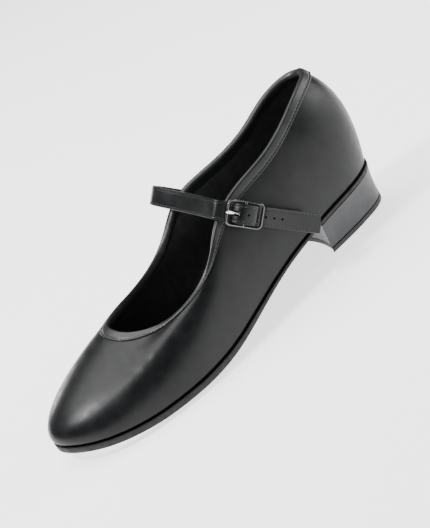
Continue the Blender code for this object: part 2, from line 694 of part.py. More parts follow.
def buckle_frame(look, pivot):
    """Round-cornered wire frame, bowed so that its end bars stand out over the strap."""
    centres = []
    for quarter, (ds, dc) in enumerate([(1, 1), (-1, 1), (-1, -1), (1, -1)]):
        for k in range(5):
            angle = math.pi / 2 * (quarter + k / 4)
            s = ds * (BAR_REACH - BUCKLE_CORNER) + BUCKLE_CORNER * math.cos(angle)
            c = dc * (ARM_REACH - BUCKLE_CORNER) + BUCKLE_CORNER * math.sin(angle)
            centres.append((s, BAR_RISE * (s / BAR_REACH) ** 2, c))
        if quarter % 2 == 0:
            centres.append((0.0, 0.0, dc * ARM_REACH))
    sections = tube_ring(centres, BAR_R, 8)
    count, size = len(sections), len(sections[0])
    faces = []
    for ring in range(count):
        after = (ring + 1) % count
        for k in range(size):
            nxt = (k + 1) % size
            faces.append((ring * size + k, ring * size + nxt, after * size + nxt, after * size + k))
    points = [p for section in sections for p in section]
    return solid("buckle_frame", points, faces, look, pivot)


def centre_bar(look):
    sides = 10
    points, faces = [], []
    for c in (-ARM_REACH, ARM_REACH):
        for k in range(sides):
            angle = 2 * math.pi * k / sides
            s, h = CENTRE_BAR_R * math.cos(angle), CENTRE_BAR_R * math.sin(angle)
            points.append(strap_point(*at_buckle(s, h), c))
    for k in range(sides):
        nxt = (k + 1) % sides
        faces.append((k, nxt, sides + nxt, sides + k))
    faces.append(tuple(range(sides)))
    faces.append(tuple(range(sides, 2 * sides)))
    return solid("centre_bar", points, faces, look)


# ---------------------------------------------------------------- the shoe
def clear_scene():
    for obj in list(bpy.data.objects):
        bpy.data.objects.remove(obj, do_unlink=True)


def main():
    clear_scene()
    looks = {
        "leather": material("black_leather", (0.022, 0.023, 0.025), 0.42),
        "strap": material("strap_leather", (0.020, 0.021, 0.023), 0.45),
        "binding": material("binding_leather", (0.035, 0.037, 0.040), 0.5),
        "lining": material("lining", (0.012, 0.013, 0.014), 0.8),
        "sock": material("sock_lining", (0.016, 0.016, 0.018), 0.75),
        "stiffener": material("stiffener_board", (0.45, 0.38, 0.28), 0.85),
        "board": material("insole_board", (0.40, 0.27, 0.16), 0.85),
        "cork": material("cork_filler", (0.36, 0.24, 0.13), 0.9),
        "sole": material("outsole", (0.018, 0.018, 0.020), 0.6),
        "heel": material("heel_block", (0.060, 0.062, 0.066), 0.45),
        "lift": material("top_lift", (0.040, 0.041, 0.044), 0.6),
        "tap": material("tap_aluminium", (0.75, 0.76, 0.78), 0.3, 1.0),
        "steel": material("steel", (0.60, 0.60, 0.62), 0.3, 1.0),
        "buckle": material("buckle_metal", (0.16, 0.16, 0.17), 0.3, 1.0),
        "prong": material("prong_metal", (0.62, 0.62, 0.64), 0.28, 1.0),
    }
    lasted_shell("upper", looks["leather"], wall_at(0.0), wall_at(UPPER_T),
                 0.0, 0.0, UPPER_T, MARGIN)
    depth = STIFF + stiffened() * (COUNTER_T + GAP)
    lasted_shell("quarter_and_vamp_lining", looks["lining"], wall_at(depth),
                 wall_at(depth + LINING_T), UPPER_T + GAP, STIFF + COUNTER_T + GAP, LINING_T,
                 MARGIN - 1)
    heel_columns = [i % RING for i in range(-COUNTER_REACH, COUNTER_REACH + 1)]
    stiffener("heel_counter", looks["stiffener"], heel_columns, COUNTER_ROW, COUNTER_T)
    toe_columns = range(HALF - PUFF_REACH, HALF + PUFF_REACH + 1)
    stiffener("toe_puff", looks["stiffener"], toe_columns, PUFF_ROW, PUFF_T)
    topline_binding(looks["binding"])

    insole, outsole = bottom_pieces(looks)
    block, lift, heel_tap = heel_pieces(looks)
    front_tap = toe_tap(looks["tap"])
    fasteners(looks, insole, outsole, block, lift, heel_tap, front_tap)

    strap_pieces(looks)
    buckle_pieces(looks)


main()
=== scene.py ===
"""Looks of the Mary Jane tap shoe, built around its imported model.

The toe points to -X, the buckle (outer) side is -Y, +Z is up.  Shapes are worked out in
millimetres in the last's frame, whose origin is LAST_ORIGIN from the part's, and turned into
metres in the part's frame when a mesh is made.
"""
import math

import bmesh
import bpy
import numpy as np
from mathutils import Matrix, Vector


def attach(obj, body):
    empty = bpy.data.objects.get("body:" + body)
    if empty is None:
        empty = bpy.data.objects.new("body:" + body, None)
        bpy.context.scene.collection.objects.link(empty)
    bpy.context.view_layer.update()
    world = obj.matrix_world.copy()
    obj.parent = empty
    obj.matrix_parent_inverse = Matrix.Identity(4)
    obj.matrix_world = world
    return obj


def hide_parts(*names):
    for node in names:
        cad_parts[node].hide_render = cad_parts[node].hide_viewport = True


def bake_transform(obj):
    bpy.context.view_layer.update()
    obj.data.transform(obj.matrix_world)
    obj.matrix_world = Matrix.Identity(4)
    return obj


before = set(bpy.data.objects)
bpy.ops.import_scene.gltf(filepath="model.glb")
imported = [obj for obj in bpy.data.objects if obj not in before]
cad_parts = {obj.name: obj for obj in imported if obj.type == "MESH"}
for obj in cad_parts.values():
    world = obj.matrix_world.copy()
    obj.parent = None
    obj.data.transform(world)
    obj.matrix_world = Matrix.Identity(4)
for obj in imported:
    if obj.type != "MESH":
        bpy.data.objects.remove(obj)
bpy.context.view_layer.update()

MM = 0.001
LAST_ORIGIN = np.array([0.91, -1.29, 0.0])
UP = np.array([0.0, 0.0, 1.0])

# ---------------- design of the shoe, in mm
GAP = 0.3
UPPER_T = 1.4
LINING_T = 0.9
COUNTER_T = 1.3
INSOLE_T = 1.8
SOCK_T = 1.2
TAP_T = 2.0
LIFT_T = 3.0
BINDING_W = 5.0
MARGIN = 10.0
BOARD_INSET = 5.8
RIM = 0.8

# Stations round the last from the back to the toe: feather line, topline, walls between them.
FEATHER = [
    (119.5, 1.0, 1.0), (115.3, -10.0, 12.0), (103.5, -18.0, 20.5), (80.0, -23.0, 25.0),
    (55.0, -25.0, 24.0), (28.0, -26.5, 21.0), (0.0, -31.5, 23.0), (-28.0, -38.0, 30.5),
    (-56.0, -39.5, 37.0), (-82.0, -34.5, 34.5), (-104.0, -24.5, 27.0), (-116.3, -12.5, 16.0),
    (-121.8, 1.5, 1.5)]
TOP_OUTER = [
    (113.0, 1.0, 93.5), (109.5, -7.5, 93.5), (97.0, -15.5, 91.3), (77.0, -22.0, 84.5),
    (56.0, -25.5, 78.5), (33.0, -24.5, 73.5), (14.0, -26.0, 66.0), (0.5, -28.5, 56.0),
    (-14.0, -29.5, 46.5), (-31.0, -27.0, 41.0), (-46.0, -18.5, 39.0), (-57.0, -8.5, 41.5),
    (-61.0, 3.0, 44.0)]
TOP_INNER = [
    (113.0, 1.0, 93.5), (109.0, 9.0, 93.0), (96.0, 15.0, 90.0), (75.0, 19.0, 81.0),
    (54.0, 21.5, 75.5), (31.0, 23.5, 73.5), (14.0, 24.5, 68.5), (-1.0, 24.5, 57.0),
    (-18.0, 23.5, 48.5), (-35.0, 22.0, 45.0), (-49.0, 18.5, 44.5), (-58.5, 12.0, 44.5),
    (-61.0, 3.0, 44.0)]
WALL_OUTER = [
    (5.0, 20, 0.00, 17.0, 20), (5.0, 20, 0.00, 16.0, 20), (6.0, 20, 0.00, 12.0, 20),
    (6.0, 18, 0.00, 7.0, 20), (6.0, 18, 0.00, 4.5, 20), (5.0, 20, 0.00, 4.0, 22),
    (4.0, 18, 0.10, 4.0, 20), (2.5, 16, 0.25, 4.5, 15), (2.0, 14, 0.40, 4.0, 8),
    (2.5, 14, 0.50, 2.0, 4), (4.0, 14, 0.52, 0.0, 4), (5.5, 14, 0.52, 0.0, 6),
    (6.0, 14, 0.52, 0.0, 7)]
WALL_INNER = [
    (5.0, 20, 0.00, 17.0, 20), (5.0, 20, 0.00, 15.0, 20), (5.0, 20, 0.00, 11.0, 20),
    (5.0, 18, 0.00, 7.0, 20), (6.0, 18, 0.00, 5.0, 20), (8.0, 20, 0.00, 4.5, 22),
    (8.0, 20, 0.10, 4.5, 20), (6.0, 20, 0.25, 4.5, 15), (4.0, 18, 0.40, 4.0, 10),
    (3.0, 16, 0.50, 2.0, 6), (4.0, 14, 0.52, 0.0, 6), (5.5, 14, 0.52, 0.0, 6),
    (6.0, 14, 0.52, 0.0, 7)]
SOLE_UNDER = [
    (-126, 10.0), (-110, 6.5), (-92, 3.8), (-72, 2.3), (-45, 2.3), (-22, 3.6), (0, 7.6),
    (20, 13.0), (40, 18.4), (60, 22.2), (78, 24.2), (96, 25.0), (124, 25.8)]
SOLE_THICK = [(-126, 4.0), (-30, 4.0), (0, 3.2), (30, 2.2), (124, 2.2)]

BREAST_X, BREAST_HOLLOW, BREAST_R = 66.0, 4.0, 72.0
HEEL_TAPER = 4.0
HEEL_HEIGHT = 22.0                   # height the taper is spread over
HEEL_MIDDLE = np.array([92.0, 1.5, 0.0])
HEEL_WAIST = 0.55                    # hollow of the heel's sides half way up
SEAT_INSET, SEAT_GAP = 0.4, 1.4 * GAP
TAP_INSET = 5.0
TOE_TAP_REACH = 9 / 64               # share of the way round that the toe tap reaches from the tip

STRAP_LEAN = math.radians(44.0)
STRAP_OUT = np.array([0.0, -1.0, 0.0])
STRAP_DOWN = np.array([math.cos(STRAP_LEAN), 0.0, -math.sin(STRAP_LEAN)])
STRAP_WIDE = np.array([math.sin(STRAP_LEAN), 0.0, math.cos(STRAP_LEAN)])
STRAP_MID = 63.7
STRAP_W, STRAP_T = 11.0, 2.0
STRAP_PATH = [
    (-28.4, -10.0), (-28.4, -20.0), (-28.5, -27.5), (-30.6, -33.0), (-33.4, -36.4),
    (-34.8, -39.8), (-34.5, -43.1), (-32.7, -46.1), (-29.4, -48.0), (-25.4, -48.0),
    (-12.0, -44.2), (4.0, -41.2), (16.0, -39.9), (23.5, -39.3), (27.2, -38.2)]
BUCKLE = np.array([34.5, -25.1])
BUCKLE_RUN = np.array([0.252, 0.968])
BUCKLE_FACE = np.array([0.968, -0.252])
STRAP_WAVE = [                           # the strap's middle through the buckle: along, out
    (-9.8, -1.85), (-8.2, -1.8), (-6.8, -1.1), (-5.4, 0.6), (-4.0, 2.3), (-2.2, 3.2), (0.0, 3.4),
    (2.6, 3.15), (4.8, 2.3), (6.4, 0.6), (7.8, -1.1), (9.8, -1.9)]
BAR_REACH, BAR_RISE = 9.8, 0.8
BAR_R, CENTRE_BAR_R = 0.75, 0.9
ARM_REACH = 6.6
BUCKLE_CORNER = 2.4
LOOP_R = 1.6
TAIL_START = 13.8
TAIL_END = (36.0, 22.9)
TAIL_CORNER = 1.6
SLANT = -0.7                         # the tail's end is cut a little askew
HOLE_R, HOLE_AT = 0.9, (1.3, 6.5, 11.6, 17.2, 22.4)
HOLE_CLOSED = 0.72                   # share of its radius that a punched hole keeps in leather
PRONG_SLOT = (-7.2, -2.9, 1.35)      # from, to and half width
CHAPE_T, CHAPE_W = 0.8, STRAP_W - 1.2
CHAPE_SLOT = (-4.0, 2.3, 1.3)
SLOT_REACH = 6.0                     # slot cutters reach this far above and below the centre bar

SCREW_HEAD_R, SCREW_SHANK_R = 2.6, 1.2
SCREW_SUNK, THREAD_PITCH = 0.3, 0.9
TOE_SCREWS = [(-112.0, 2.0), (-88.0, -20.0), (-88.0, 21.0)]
HEEL_SCREWS = [(104.0, 1.5), (85.0, -9.0), (85.0, 12.0)]

# ---------------- fineness and sewing, in mm
RING = 320                # sections round the shoe
WALL_ROWS = 60
STITCH_PITCH, STITCH_LENGTH, THREAD_R = 2.3, 1.75, 0.2
BINDING_STITCH_AT = 3.9   # below the topline
STRAP_STITCH_IN = 1.5     # in from the strap's edges

# Camera: it stands VIEW_DISTANCE metres from VIEW_AIM, in the direction of the two angles.
VIEW_AZIMUTH, VIEW_ELEVATION, VIEW_ROLL = (math.radians(a) for a in (-18.94, 24.20, 32.26))
VIEW_AIM = Vector((0.01129, 0.01070, 0.03122))
VIEW_DISTANCE, VIEW_LENS, SENSOR = 0.900, 133.5, 36.0


# ---------------- curves and surfaces
def cubic(knots, values, at, period=None):
    """Smooth curve through values at knots, read at the given places; closed if it has a period."""
    knots = np.asarray(knots, float)
    values = np.asarray(values, float)
    if values.ndim == 1:
        values = values[:, None]
    at = np.asarray(at, float)
    if period:
        knots = np.append(knots, knots[0] + period)
        values = np.concatenate([values, values[:1]])
        at = (at - knots[0]) % period + knots[0]
    step = np.diff(knots)
    slope = np.diff(values, axis=0) / step[:, None]
    count = len(knots)
    matrix = np.eye(count)
    right = np.zeros_like(values)
    for i in range(1, count - 1):
        matrix[i, i - 1:i + 2] = step[i - 1], 2 * (step[i - 1] + step[i]), step[i]
        right[i] = 6 * (slope[i] - slope[i - 1])
    if period:
        matrix[0, 0] = 2 * (step[-1] + step[0])
        matrix[0, 1] = step[0]
        matrix[0, -2] = step[-1]
        right[0] = 6 * (slope[0] - slope[-1])
        matrix[-1, 0] = -1
    bend = np.linalg.solve(matrix, right)
    i = np.clip(np.searchsorted(knots, at, side="right") - 1, 0, count - 2)
    t = (at - knots[i])[:, None]
    width = step[i][:, None]
    rise = slope[i] - width * (2 * bend[i] + bend[i + 1]) / 6
    change = (bend[i + 1] - bend[i]) / (6 * width)
    return values[i] + rise * t + bend[i] * t ** 2 / 2 + change * t ** 3


def both_sides(outer, inner):
    """The stations in order round the shoe: back, outer side, toe, inner side."""
    return np.array(list(outer) + list(inner)[-2:0:-1], float)


def side_lengths():
    """Distance from the back to each station, the mean of the two sides, as a share of one."""
    stations = np.array(FEATHER)
    total = np.zeros(len(stations))
    for column in (1, 2):
        points = stations[:, [0, column]]
        steps = np.linalg.norm(np.diff(points, axis=0), axis=1)
        total += np.concatenate([[0.0], np.cumsum(steps)])
    return total / total[-1]


SHARES = side_lengths() / 2
KNOTS = np.concatenate([SHARES, 1 - SHARES[-2:0:-1]])


def sole_under(x):
    """Height of the outsole's underside."""
    knots, heights = zip(*SOLE_UNDER)
    curve = cubic(knots, heights, np.clip(x, knots[0], knots[-1]))[:, 0]
    return np.maximum(curve, TAP_T + GAP)


def sole_top(x):
    return sole_under(x) + np.interp(x, *zip(*SOLE_THICK))


def feather(u):
    """Points of the feather line and the outward direction in plan at each."""
    stations = np.array(FEATHER)
    plan = both_sides(stations[:, [0, 1]], stations[:, [0, 2]])
    here = cubic(KNOTS, plan, u, 1.0)
    ahead = cubic(KNOTS, plan, u + 0.002, 1.0) - cubic(KNOTS, plan, u - 0.002, 1.0)
    ahead /= np.linalg.norm(ahead, axis=1)[:, None]
    points = np.column_stack([here, sole_top(here[:, 0]) + GAP])
    outward = np.column_stack([-ahead[:, 1], ahead[:, 0], np.zeros(len(u))])
    return points, outward


class Wall:
    """The upper's outer surface, read by section and by distance down from the topline."""

    FINE = 121

    def __init__(self, u):
        low, outward = feather(u)
        top = cubic(KNOTS, both_sides(TOP_OUTER, TOP_INNER), u, 1.0)
        shape = cubic(KNOTS, both_sides(WALL_OUTER, WALL_INNER), u, 1.0)
        level = (low - top) * [1, 1, 0]
        low_handle = low + outward * shape[:, [0]] + UP * shape[:, [1]]
        top_handle = top + level * shape[:, [2]] + outward * shape[:, [3]] - UP * shape[:, [4]]
        t = np.linspace(0, 1, self.FINE)[:, None, None]
        self.curves = ((1 - t) ** 3 * top + 3 * (1 - t) ** 2 * t * top_handle
                       + 3 * (1 - t) * t ** 2 * low_handle + t ** 3 * low)
        steps = np.linalg.norm(np.diff(self.curves, axis=0), axis=2)
        self.run = np.concatenate([np.zeros((1, len(u))), np.cumsum(steps, axis=0)])
        self.length = self.run[-1]
        along = np.roll(self.curves, -1, axis=1) - np.roll(self.curves, 1, axis=1)
        normal = np.cross(along, np.gradient(self.curves, axis=0))
        self.normals = normal / np.linalg.norm(normal, axis=2)[:, :, None]

    def read(self, table, stops):
        """Rows of a table of the surface at distances below the topline, one row of stops each."""
        rows = np.zeros((len(stops), table.shape[1], 3))
        for i in range(table.shape[1]):
            for axis in range(3):
                rows[:, i, axis] = np.interp(stops[:, i], self.run[:, i], table[:, i, axis])
        return rows

    def at(self, stops):
        normals = self.read(self.normals, stops)
        normals /= np.linalg.norm(normals, axis=2)[:, :, None]
        points = self.read(self.curves, stops)
        above = np.minimum(stops, 0)[:, :, None]
        rise = self.curves[0] - self.curves[2]
        rise /= np.linalg.norm(rise, axis=1)[:, None]
        return points - rise * above, normals


U = np.arange(RING) / RING
LOW, OUTWARD = feather(U)
WALL = Wall(U)


def bottom_points(inset, lift=0.0):
    """Points on the bottom profile, moved in from the feather line and lifted off the outsole."""
    moved = LOW - OUTWARD * inset
    moved[:, 2] = sole_top(moved[:, 0]) + GAP + lift
    return moved


def smooth_path(points, spacing):
    points = np.array(points, float)
    run = np.concatenate([[0.0], np.cumsum(np.linalg.norm(np.diff(points, axis=0), axis=1))])
    count = max(2, round(run[-1] / spacing) + 1)
    return cubic(run, points, np.linspace(0, run[-1], count))


def fade(value, low, high):
    """0 below low, 1 above high, smooth between."""
    t = np.clip((value - low) / (high - low), 0, 1)
    return t * t * (3 - 2 * t)


def hump(value, middle, width):
    return np.exp(-((value - middle) / width) ** 2)


# ---------------- meshes
def piece(name, points, faces, look, body, slot, replaces=(), sharp=None):
    """Object from points in mm in the last's frame; it rides on a body of the frame."""
    mesh = bpy.data.meshes.new(name)
    mesh.from_pydata([tuple((p - LAST_ORIGIN) * MM) for p in np.asarray(points, float)], [], faces)
    bm = bmesh.new()
    bm.from_mesh(mesh)
    bmesh.ops.remove_doubles(bm, verts=bm.verts, dist=1e-7)
    bmesh.ops.recalc_face_normals(bm, faces=bm.faces)
    bm.to_mesh(mesh)
    bm.free()
    mesh.materials.append(look)
    mesh.shade_smooth()
    if sharp is not None:
        mesh.set_sharp_from_angle(angle=math.radians(sharp))
    obj = bpy.data.objects.new(name, mesh)
    bpy.context.scene.collection.objects.link(obj)
    if body:
        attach(obj, body)
    if replaces:
        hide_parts(*replaces)
    return obj


def bake(obj, *cutters):
    """Turn an object's modifiers into its mesh, and drop the cutters they used."""
    bpy.context.view_layer.update()
    shape = obj.evaluated_get(bpy.context.evaluated_depsgraph_get())
    mesh = bpy.data.meshes.new_from_object(shape)
    obj.modifiers.clear()
    obj.data = mesh
    mesh.name = obj.name
    for cutter in cutters:
        bpy.data.objects.remove(cutter, do_unlink=True)


def cut(obj, cutters):
    for cutter in cutters:
        boolean = obj.modifiers.new("cut", "BOOLEAN")
        boolean.operation = "DIFFERENCE"
        boolean.solver = "EXACT"
        boolean.object = cutter
    bake(obj, *cutters)


def bevelled(obj, width, segments=2, angle=35):
    """Round the hard edges of a piece."""
    bevel = obj.modifiers.new("bevel", "BEVEL")
    bevel.width = width * MM
    bevel.segments = segments
    bevel.limit_method = "ANGLE"
    bevel.angle_limit = math.radians(angle)
    bevel.harden_normals = True
    bake(obj)


def grid_faces(count, size, closed_round=True, closed_along=True):
    """Quads over count sections of size points each."""
    faces = []
    for s in range(count if closed_along else count - 1):
        after = (s + 1) % count
        for k in range(size if closed_round else size - 1):
            nxt = (k + 1) % size
            faces.append((s * size + k, s * size + nxt, after * size + nxt, after * size + k))
    return faces


def tube(sections, closed):
    """Points and faces of a tube through sections; its ends are capped if it isn't closed."""
    sections = np.asarray(sections)
    count, size = sections.shape[:2]
    faces = grid_faces(count, size, closed_along=closed)
    if not closed:
        faces.append(tuple(range(size)))
        faces.append(tuple(range((count - 1) * size, count * size)))
    return list(sections.reshape(-1, 3)), faces


def ladder_plate(loops):
    """Points and faces of a plate through loops round the shoe, closed across at both ends."""
    loops = [np.asarray(loop) for loop in loops]
    size = len(loops[0])
    points = [p for loop in loops for p in loop]
    faces = grid_faces(len(loops), size, closed_along=False)
    for base in (0, (len(loops) - 1) * size):
        for i in range(size // 2):
            j = (size - i) % size
            faces.append((base + i, base + i + 1, base + j - 1, base + j) if i else
                         (base, base + 1, base + size - 1))
    return points, [tuple(dict.fromkeys(f)) for f in faces]


def turned(profile, place, axis=UP, sides=32):
    """Points and faces of a turned shape; the profile lists radius and height along the axis."""
    axis = np.asarray(axis, float) / np.linalg.norm(axis)
    side = np.cross(axis, [0.0, 1.0, 0.0] if abs(axis[1]) < 0.9 else [1.0, 0.0, 0.0])
    side /= np.linalg.norm(side)
    other = np.cross(axis, side)
    angles = 2 * np.pi * np.arange(sides) / sides
    sections = []
    for radius, height in profile:
        ring = np.outer(np.cos(angles), side) + np.outer(np.sin(angles), other)
        sections.append(np.asarray(place) + ring * radius + axis * height)
    return tube(sections, closed=False)


def stitches(path, normals, pitch=STITCH_PITCH, closed=False):
    """Points and faces of a row of short threads that dip into the surface at their ends."""
    path, normals = np.asarray(path), np.asarray(normals)
    if closed:
        path, normals = np.vstack([path, path[:1]]), np.vstack([normals, normals[:1]])
    run = np.concatenate([[0.0], np.cumsum(np.linalg.norm(np.diff(path, axis=0), axis=1))])
    count = max(1, int(run[-1] // pitch))
    spacing = run[-1] / count
    dip = np.array([-0.26, -0.05, 0.06, 0.06, -0.05, -0.26])
    girth = np.array([0.55, 0.95, 1.0, 1.0, 0.95, 0.55])
    angles = 2 * np.pi * np.arange(6) / 6
    points, faces = [], []
    for number in range(count):
        middle = (number + 0.5) * spacing
        where = middle + np.linspace(-0.5, 0.5, len(dip)) * STITCH_LENGTH * spacing / pitch
        centres = np.column_stack([np.interp(where, run, path[:, a]) for a in range(3)])
        out = np.column_stack([np.interp(where, run, normals[:, a]) for a in range(3)])
        out /= np.linalg.norm(out, axis=1)[:, None]
        ahead = np.gradient(centres, axis=0)
        side = np.cross(ahead, out)
        side /= np.linalg.norm(side, axis=1)[:, None]
        centres = centres + out * dip[:, None]
        sections = [c + THREAD_R * g * (np.outer(np.cos(angles), s) + np.outer(np.sin(angles), o))
                    for c, g, s, o in zip(centres, girth, side, out)]
        more, quads = tube(sections, closed=False)
        faces += [tuple(i + len(points) for i in quad) for quad in quads]
        points += more
    return points, faces


def join(*shapes):
    points, faces = [], []
    for more, polygons in shapes:
        faces += [tuple(i + len(points) for i in polygon) for polygon in polygons]
        points += list(more)
    return points, faces


# ---------------- upper, lining and binding
CREASES = [(-67.0, 0.16, 2.4), (-74.5, 0.07, 2.8), (-59.0, 0.05, 2.2)]   # x, depth, half width
EDGE_ROUND = 1.8          # the upper turns in over this height above the sole


def vamp_creases(points):
    """Depth of the shallow folds that walking leaves across the vamp."""
    x, y, z = points[..., 0], points[..., 1], points[..., 2]
    across = fade(z, 20, 34) * (0.55 + 0.45 * np.sin(0.21 * y + 1.1))
    depth = np.zeros(x.shape)
    for number, (at, deep, width) in enumerate(CREASES):
        bowed = at + 0.004 * (y - 2) ** 2 + 1.2 * np.sin(0.17 * y + number)
        depth += deep * hump(x, bowed, width)
        ridges = hump(x, bowed - 2 * width, width) + hump(x, bowed + 2 * width, width)
        depth -= 0.5 * deep * ridges
    return depth * across


def shell_sections(outer_rows, inner_rows, base):
    """Sections of a shell of the shoe: outer rows down, base loops, inner rows up."""
    stack = list(outer_rows) + list(base) + list(inner_rows[::-1])
    return np.stack(stack, axis=1)


def make_upper(look):
    share = np.linspace(0, 1, WALL_ROWS)[:, None]
    stops = BINDING_W - 1.4 + share * (WALL.length - (BINDING_W - 1.4))
    outer, normals = WALL.at(stops)
    turn = np.clip((stops - (WALL.length - EDGE_ROUND)) / EDGE_ROUND, 0, 1)
    tuck = 1.5 * (1 - np.sqrt(np.clip(1 - turn ** 2, 0, 1))) + vamp_creases(outer)
    outer = outer - normals * tuck[:, :, None]
    inside_stops = stops[::3] * (1 - 2.0 / WALL.length)
    inner, inner_normals = WALL.at(inside_stops)
    inner = inner - inner_normals * (UPPER_T + vamp_creases(inner))[:, :, None]
    base = [bottom_points(2.6), bottom_points(6.0), bottom_points(MARGIN),
            bottom_points(MARGIN, UPPER_T), bottom_points(3.4, UPPER_T + 0.6)]
    points, faces = tube(shell_sections(outer, inner, base), closed=True)
    return piece("upper_leather", points, faces, look, "shoe", "black_leather", ["upper"])


# Stiffeners, in shares of the way round and of the wall's height, and the model's section count.
SECTIONS = 64
COUNTER_END, PUFF_END, COUNTER_TOP = 10 / SECTIONS, 24 / SECTIONS, 0.13


def make_lining(look):
    share = np.linspace(0, 1, 28)[:, None]
    start = 0.6
    stops = start + share * (WALL.length - 2.5 - start)
    from_back = np.minimum(U, 1 - U)
    down = (stops - BINDING_W) / (WALL.length - BINDING_W)
    counter = np.clip((COUNTER_END - from_back) * SECTIONS, 0, 1)
    counter = counter * np.clip(down / COUNTER_TOP, 0, 1)
    puff = np.clip((from_back - PUFF_END) * SECTIONS, 0, 1) * np.clip((down - 0.28) / 0.16, 0, 1)
    depth = UPPER_T + GAP + (COUNTER_T + GAP) * np.maximum(counter, puff)
    depth = depth + vamp_creases(WALL.at(stops)[0])
    points, normals = WALL.at(stops)
    outer = points - normals * depth[:, :, None]
    inner = points - normals * (depth + LINING_T)[:, :, None]
    lift = UPPER_T + GAP
    base = [bottom_points(4.6, lift), bottom_points(MARGIN - 1, lift),
            bottom_points(MARGIN - 1, lift + LINING_T), bottom_points(5.4, lift + LINING_T)]
    points, faces = tube(shell_sections(outer, inner, base), closed=True)
    return piece("foot_lining", points, faces, look, "shoe", "lining", ["quarter_and_vamp_lining"])


# Half of a binding's section: distance below the topline, height off the upper's outer face.
BINDING_SECTION = [
    (5.1, 0.02), (5.35, 0.22), (5.22, 0.58), (4.8, 0.74), (4.3, 0.68), (BINDING_STITCH_AT, 0.46),
    (3.5, 0.66), (3.0, 0.78), (2.2, 0.84), (1.2, 0.90), (0.4, 0.94), (-0.4, 0.82), (-1.0, 0.30),
    (-1.25, -0.5), (-1.2, -1.5), (-0.9, -2.4), (-0.2, -3.2), (0.7, -3.6), (2.0, -3.66),
    (3.6, -3.62), (4.7, -3.56), (5.05, -3.3), (4.9, -2.98)]
BINDING_HOLLOW = [(3.0, -2.96), (0.9, -2.96), (0.25, -2.6), (0.1, -1.4), (0.25, -0.1), (0.9, 0.04)]
LAP_AT, LAP_REACH, LAP_RISE = 0.004, 0.008, 0.55      # where the binding's ends overlap at the back


TOPLINE = WALL.curves[0]
WALL_TOP_RUN = np.linalg.norm(np.roll(TOPLINE, -1, axis=0) - TOPLINE, axis=1).sum()


def binding_row(distance, height, lap):
    stops = np.full((1, RING), float(distance))
    points, normals = WALL.at(stops)
    return points[0] + normals[0] * (height + lap)[:, None]


def make_binding(look, thread):
    outer = smooth_path(BINDING_SECTION, 0.34)
    from_lap = np.abs((U - LAP_AT + 0.5) % 1 - 0.5)
    lap = LAP_RISE * fade(-from_lap, -LAP_REACH, -LAP_REACH * 0.6)
    pucker = 0.05 * np.sin(2 * np.pi * U * round(WALL_TOP_RUN / STITCH_PITCH))
    rows = []
    for distance, height in outer:
        raised = lap * fade(height, -0.4, 0.2)
        ripple = pucker * hump(distance, BINDING_STITCH_AT, 1.3) * (height > 0)
        rows.append(binding_row(distance, height, raised + ripple))
    for distance, height in BINDING_HOLLOW:
        rows.append(binding_row(distance, height, np.zeros(RING)))
    points, faces = tube(np.stack(rows, axis=1), closed=True)
    piece("topline_binding_roll", points, faces, look, "shoe", "binding_leather",
          ["topline_binding"])
    line, out = WALL.at(np.full((1, RING), BINDING_STITCH_AT))
    points, faces = stitches(line[0] + out[0] * (0.52 + lap)[:, None], out[0], closed=True)
    piece("binding_stitches", points, faces, thread, "shoe", "binding_leather")


# ---------------- bottom
def make_outsole(look):
    """Leather sole with rounded edges and a shallow channel round its underside."""
    sections = [(-RIM + 2.2, "top", 0.0), (-RIM + 0.5, "top", 0.0), (-RIM + 0.1, "top", 0.16),
                (-RIM, "top", 0.5), (-RIM, "mid", 0.0), (-RIM, "under", 0.6),
                (-RIM + 0.18, "under", 0.2), (-RIM + 0.6, "under", 0.0), (3.0, "under", 0.0),
                (3.3, "under", 0.3), (3.8, "under", 0.3), (4.1, "under", 0.0)]
    loops = []
    for inset, level, drop in sections:
        loop = LOW - OUTWARD * inset
        low, high = sole_under(loop[:, 0]), sole_top(loop[:, 0])
        heights = {"top": high - drop, "mid": (low + high) / 2, "under": low + drop}
        loop[:, 2] = heights[level]
        loops.append(loop)
    points, faces = ladder_plate(loops)
    return piece("sole_leather", points, faces, look, "shoe", "outsole", ["outsole"], sharp=50)


def make_sock(look):
    """Sock lining over the insole board, its rim rising against the lining."""
    base = UPPER_T + GAP + LINING_T + GAP + INSOLE_T + GAP
    loops = []
    for inset, lift in [(BOARD_INSET + 3, 0.0), (BOARD_INSET, 0.0), (BOARD_INSET - 0.4, 0.5),
                        (BOARD_INSET - 0.3, SOCK_T + 0.35), (BOARD_INSET + 0.4, SOCK_T + 0.3),
                        (BOARD_INSET + 2.5, SOCK_T), (BOARD_INSET + 6, SOCK_T)]:
        loop = bottom_points(inset, base + lift)
        loops.append(loop)
    points, faces = ladder_plate(loops)
    return piece("sock", points, faces, look, "shoe", "sock_lining", ["sock_lining"], sharp=60)


# ---------------- heel
HEEL_POINTS = 48


def heel_outline(inset, front, hollow):
    """Loop round the heel: outer side from the back, breast, inner side to the back."""
    dense = np.linspace(0, 0.5, 801)
    sides = []
    for direction in (1, -1):
        x = feather(direction * dense)[0][:, 0]
        reach = np.interp(-front, -x, dense)
        along = np.linspace(0, 1, HEEL_POINTS)
        points, outward = feather(direction * reach * along)
        at_back = np.clip(1 - 2 * along, 0, 1)[:, None]
        points = points - outward * (inset * (1 - at_back) + min(inset, 1.0) * at_back)
        points[-1, 0] = front
        sides.append(points)
    outer, inner = sides
    width = np.linspace(outer[-1, 1], inner[-1, 1], 26)[1:-1]
    middle = feather(np.array([0.0]))[0][0, 1]
    drum = front - BREAST_R + hollow + np.sqrt(BREAST_R ** 2 - (width - middle) ** 2)
    breast = np.column_stack([np.maximum(drum, front), width, np.zeros(len(width))])
    return np.vstack([outer, breast, inner[:0:-1]])


def loft(loops):
    """Points and faces through loops of one length, with a flat cap at each end."""
    return tube(np.stack(loops), closed=False)


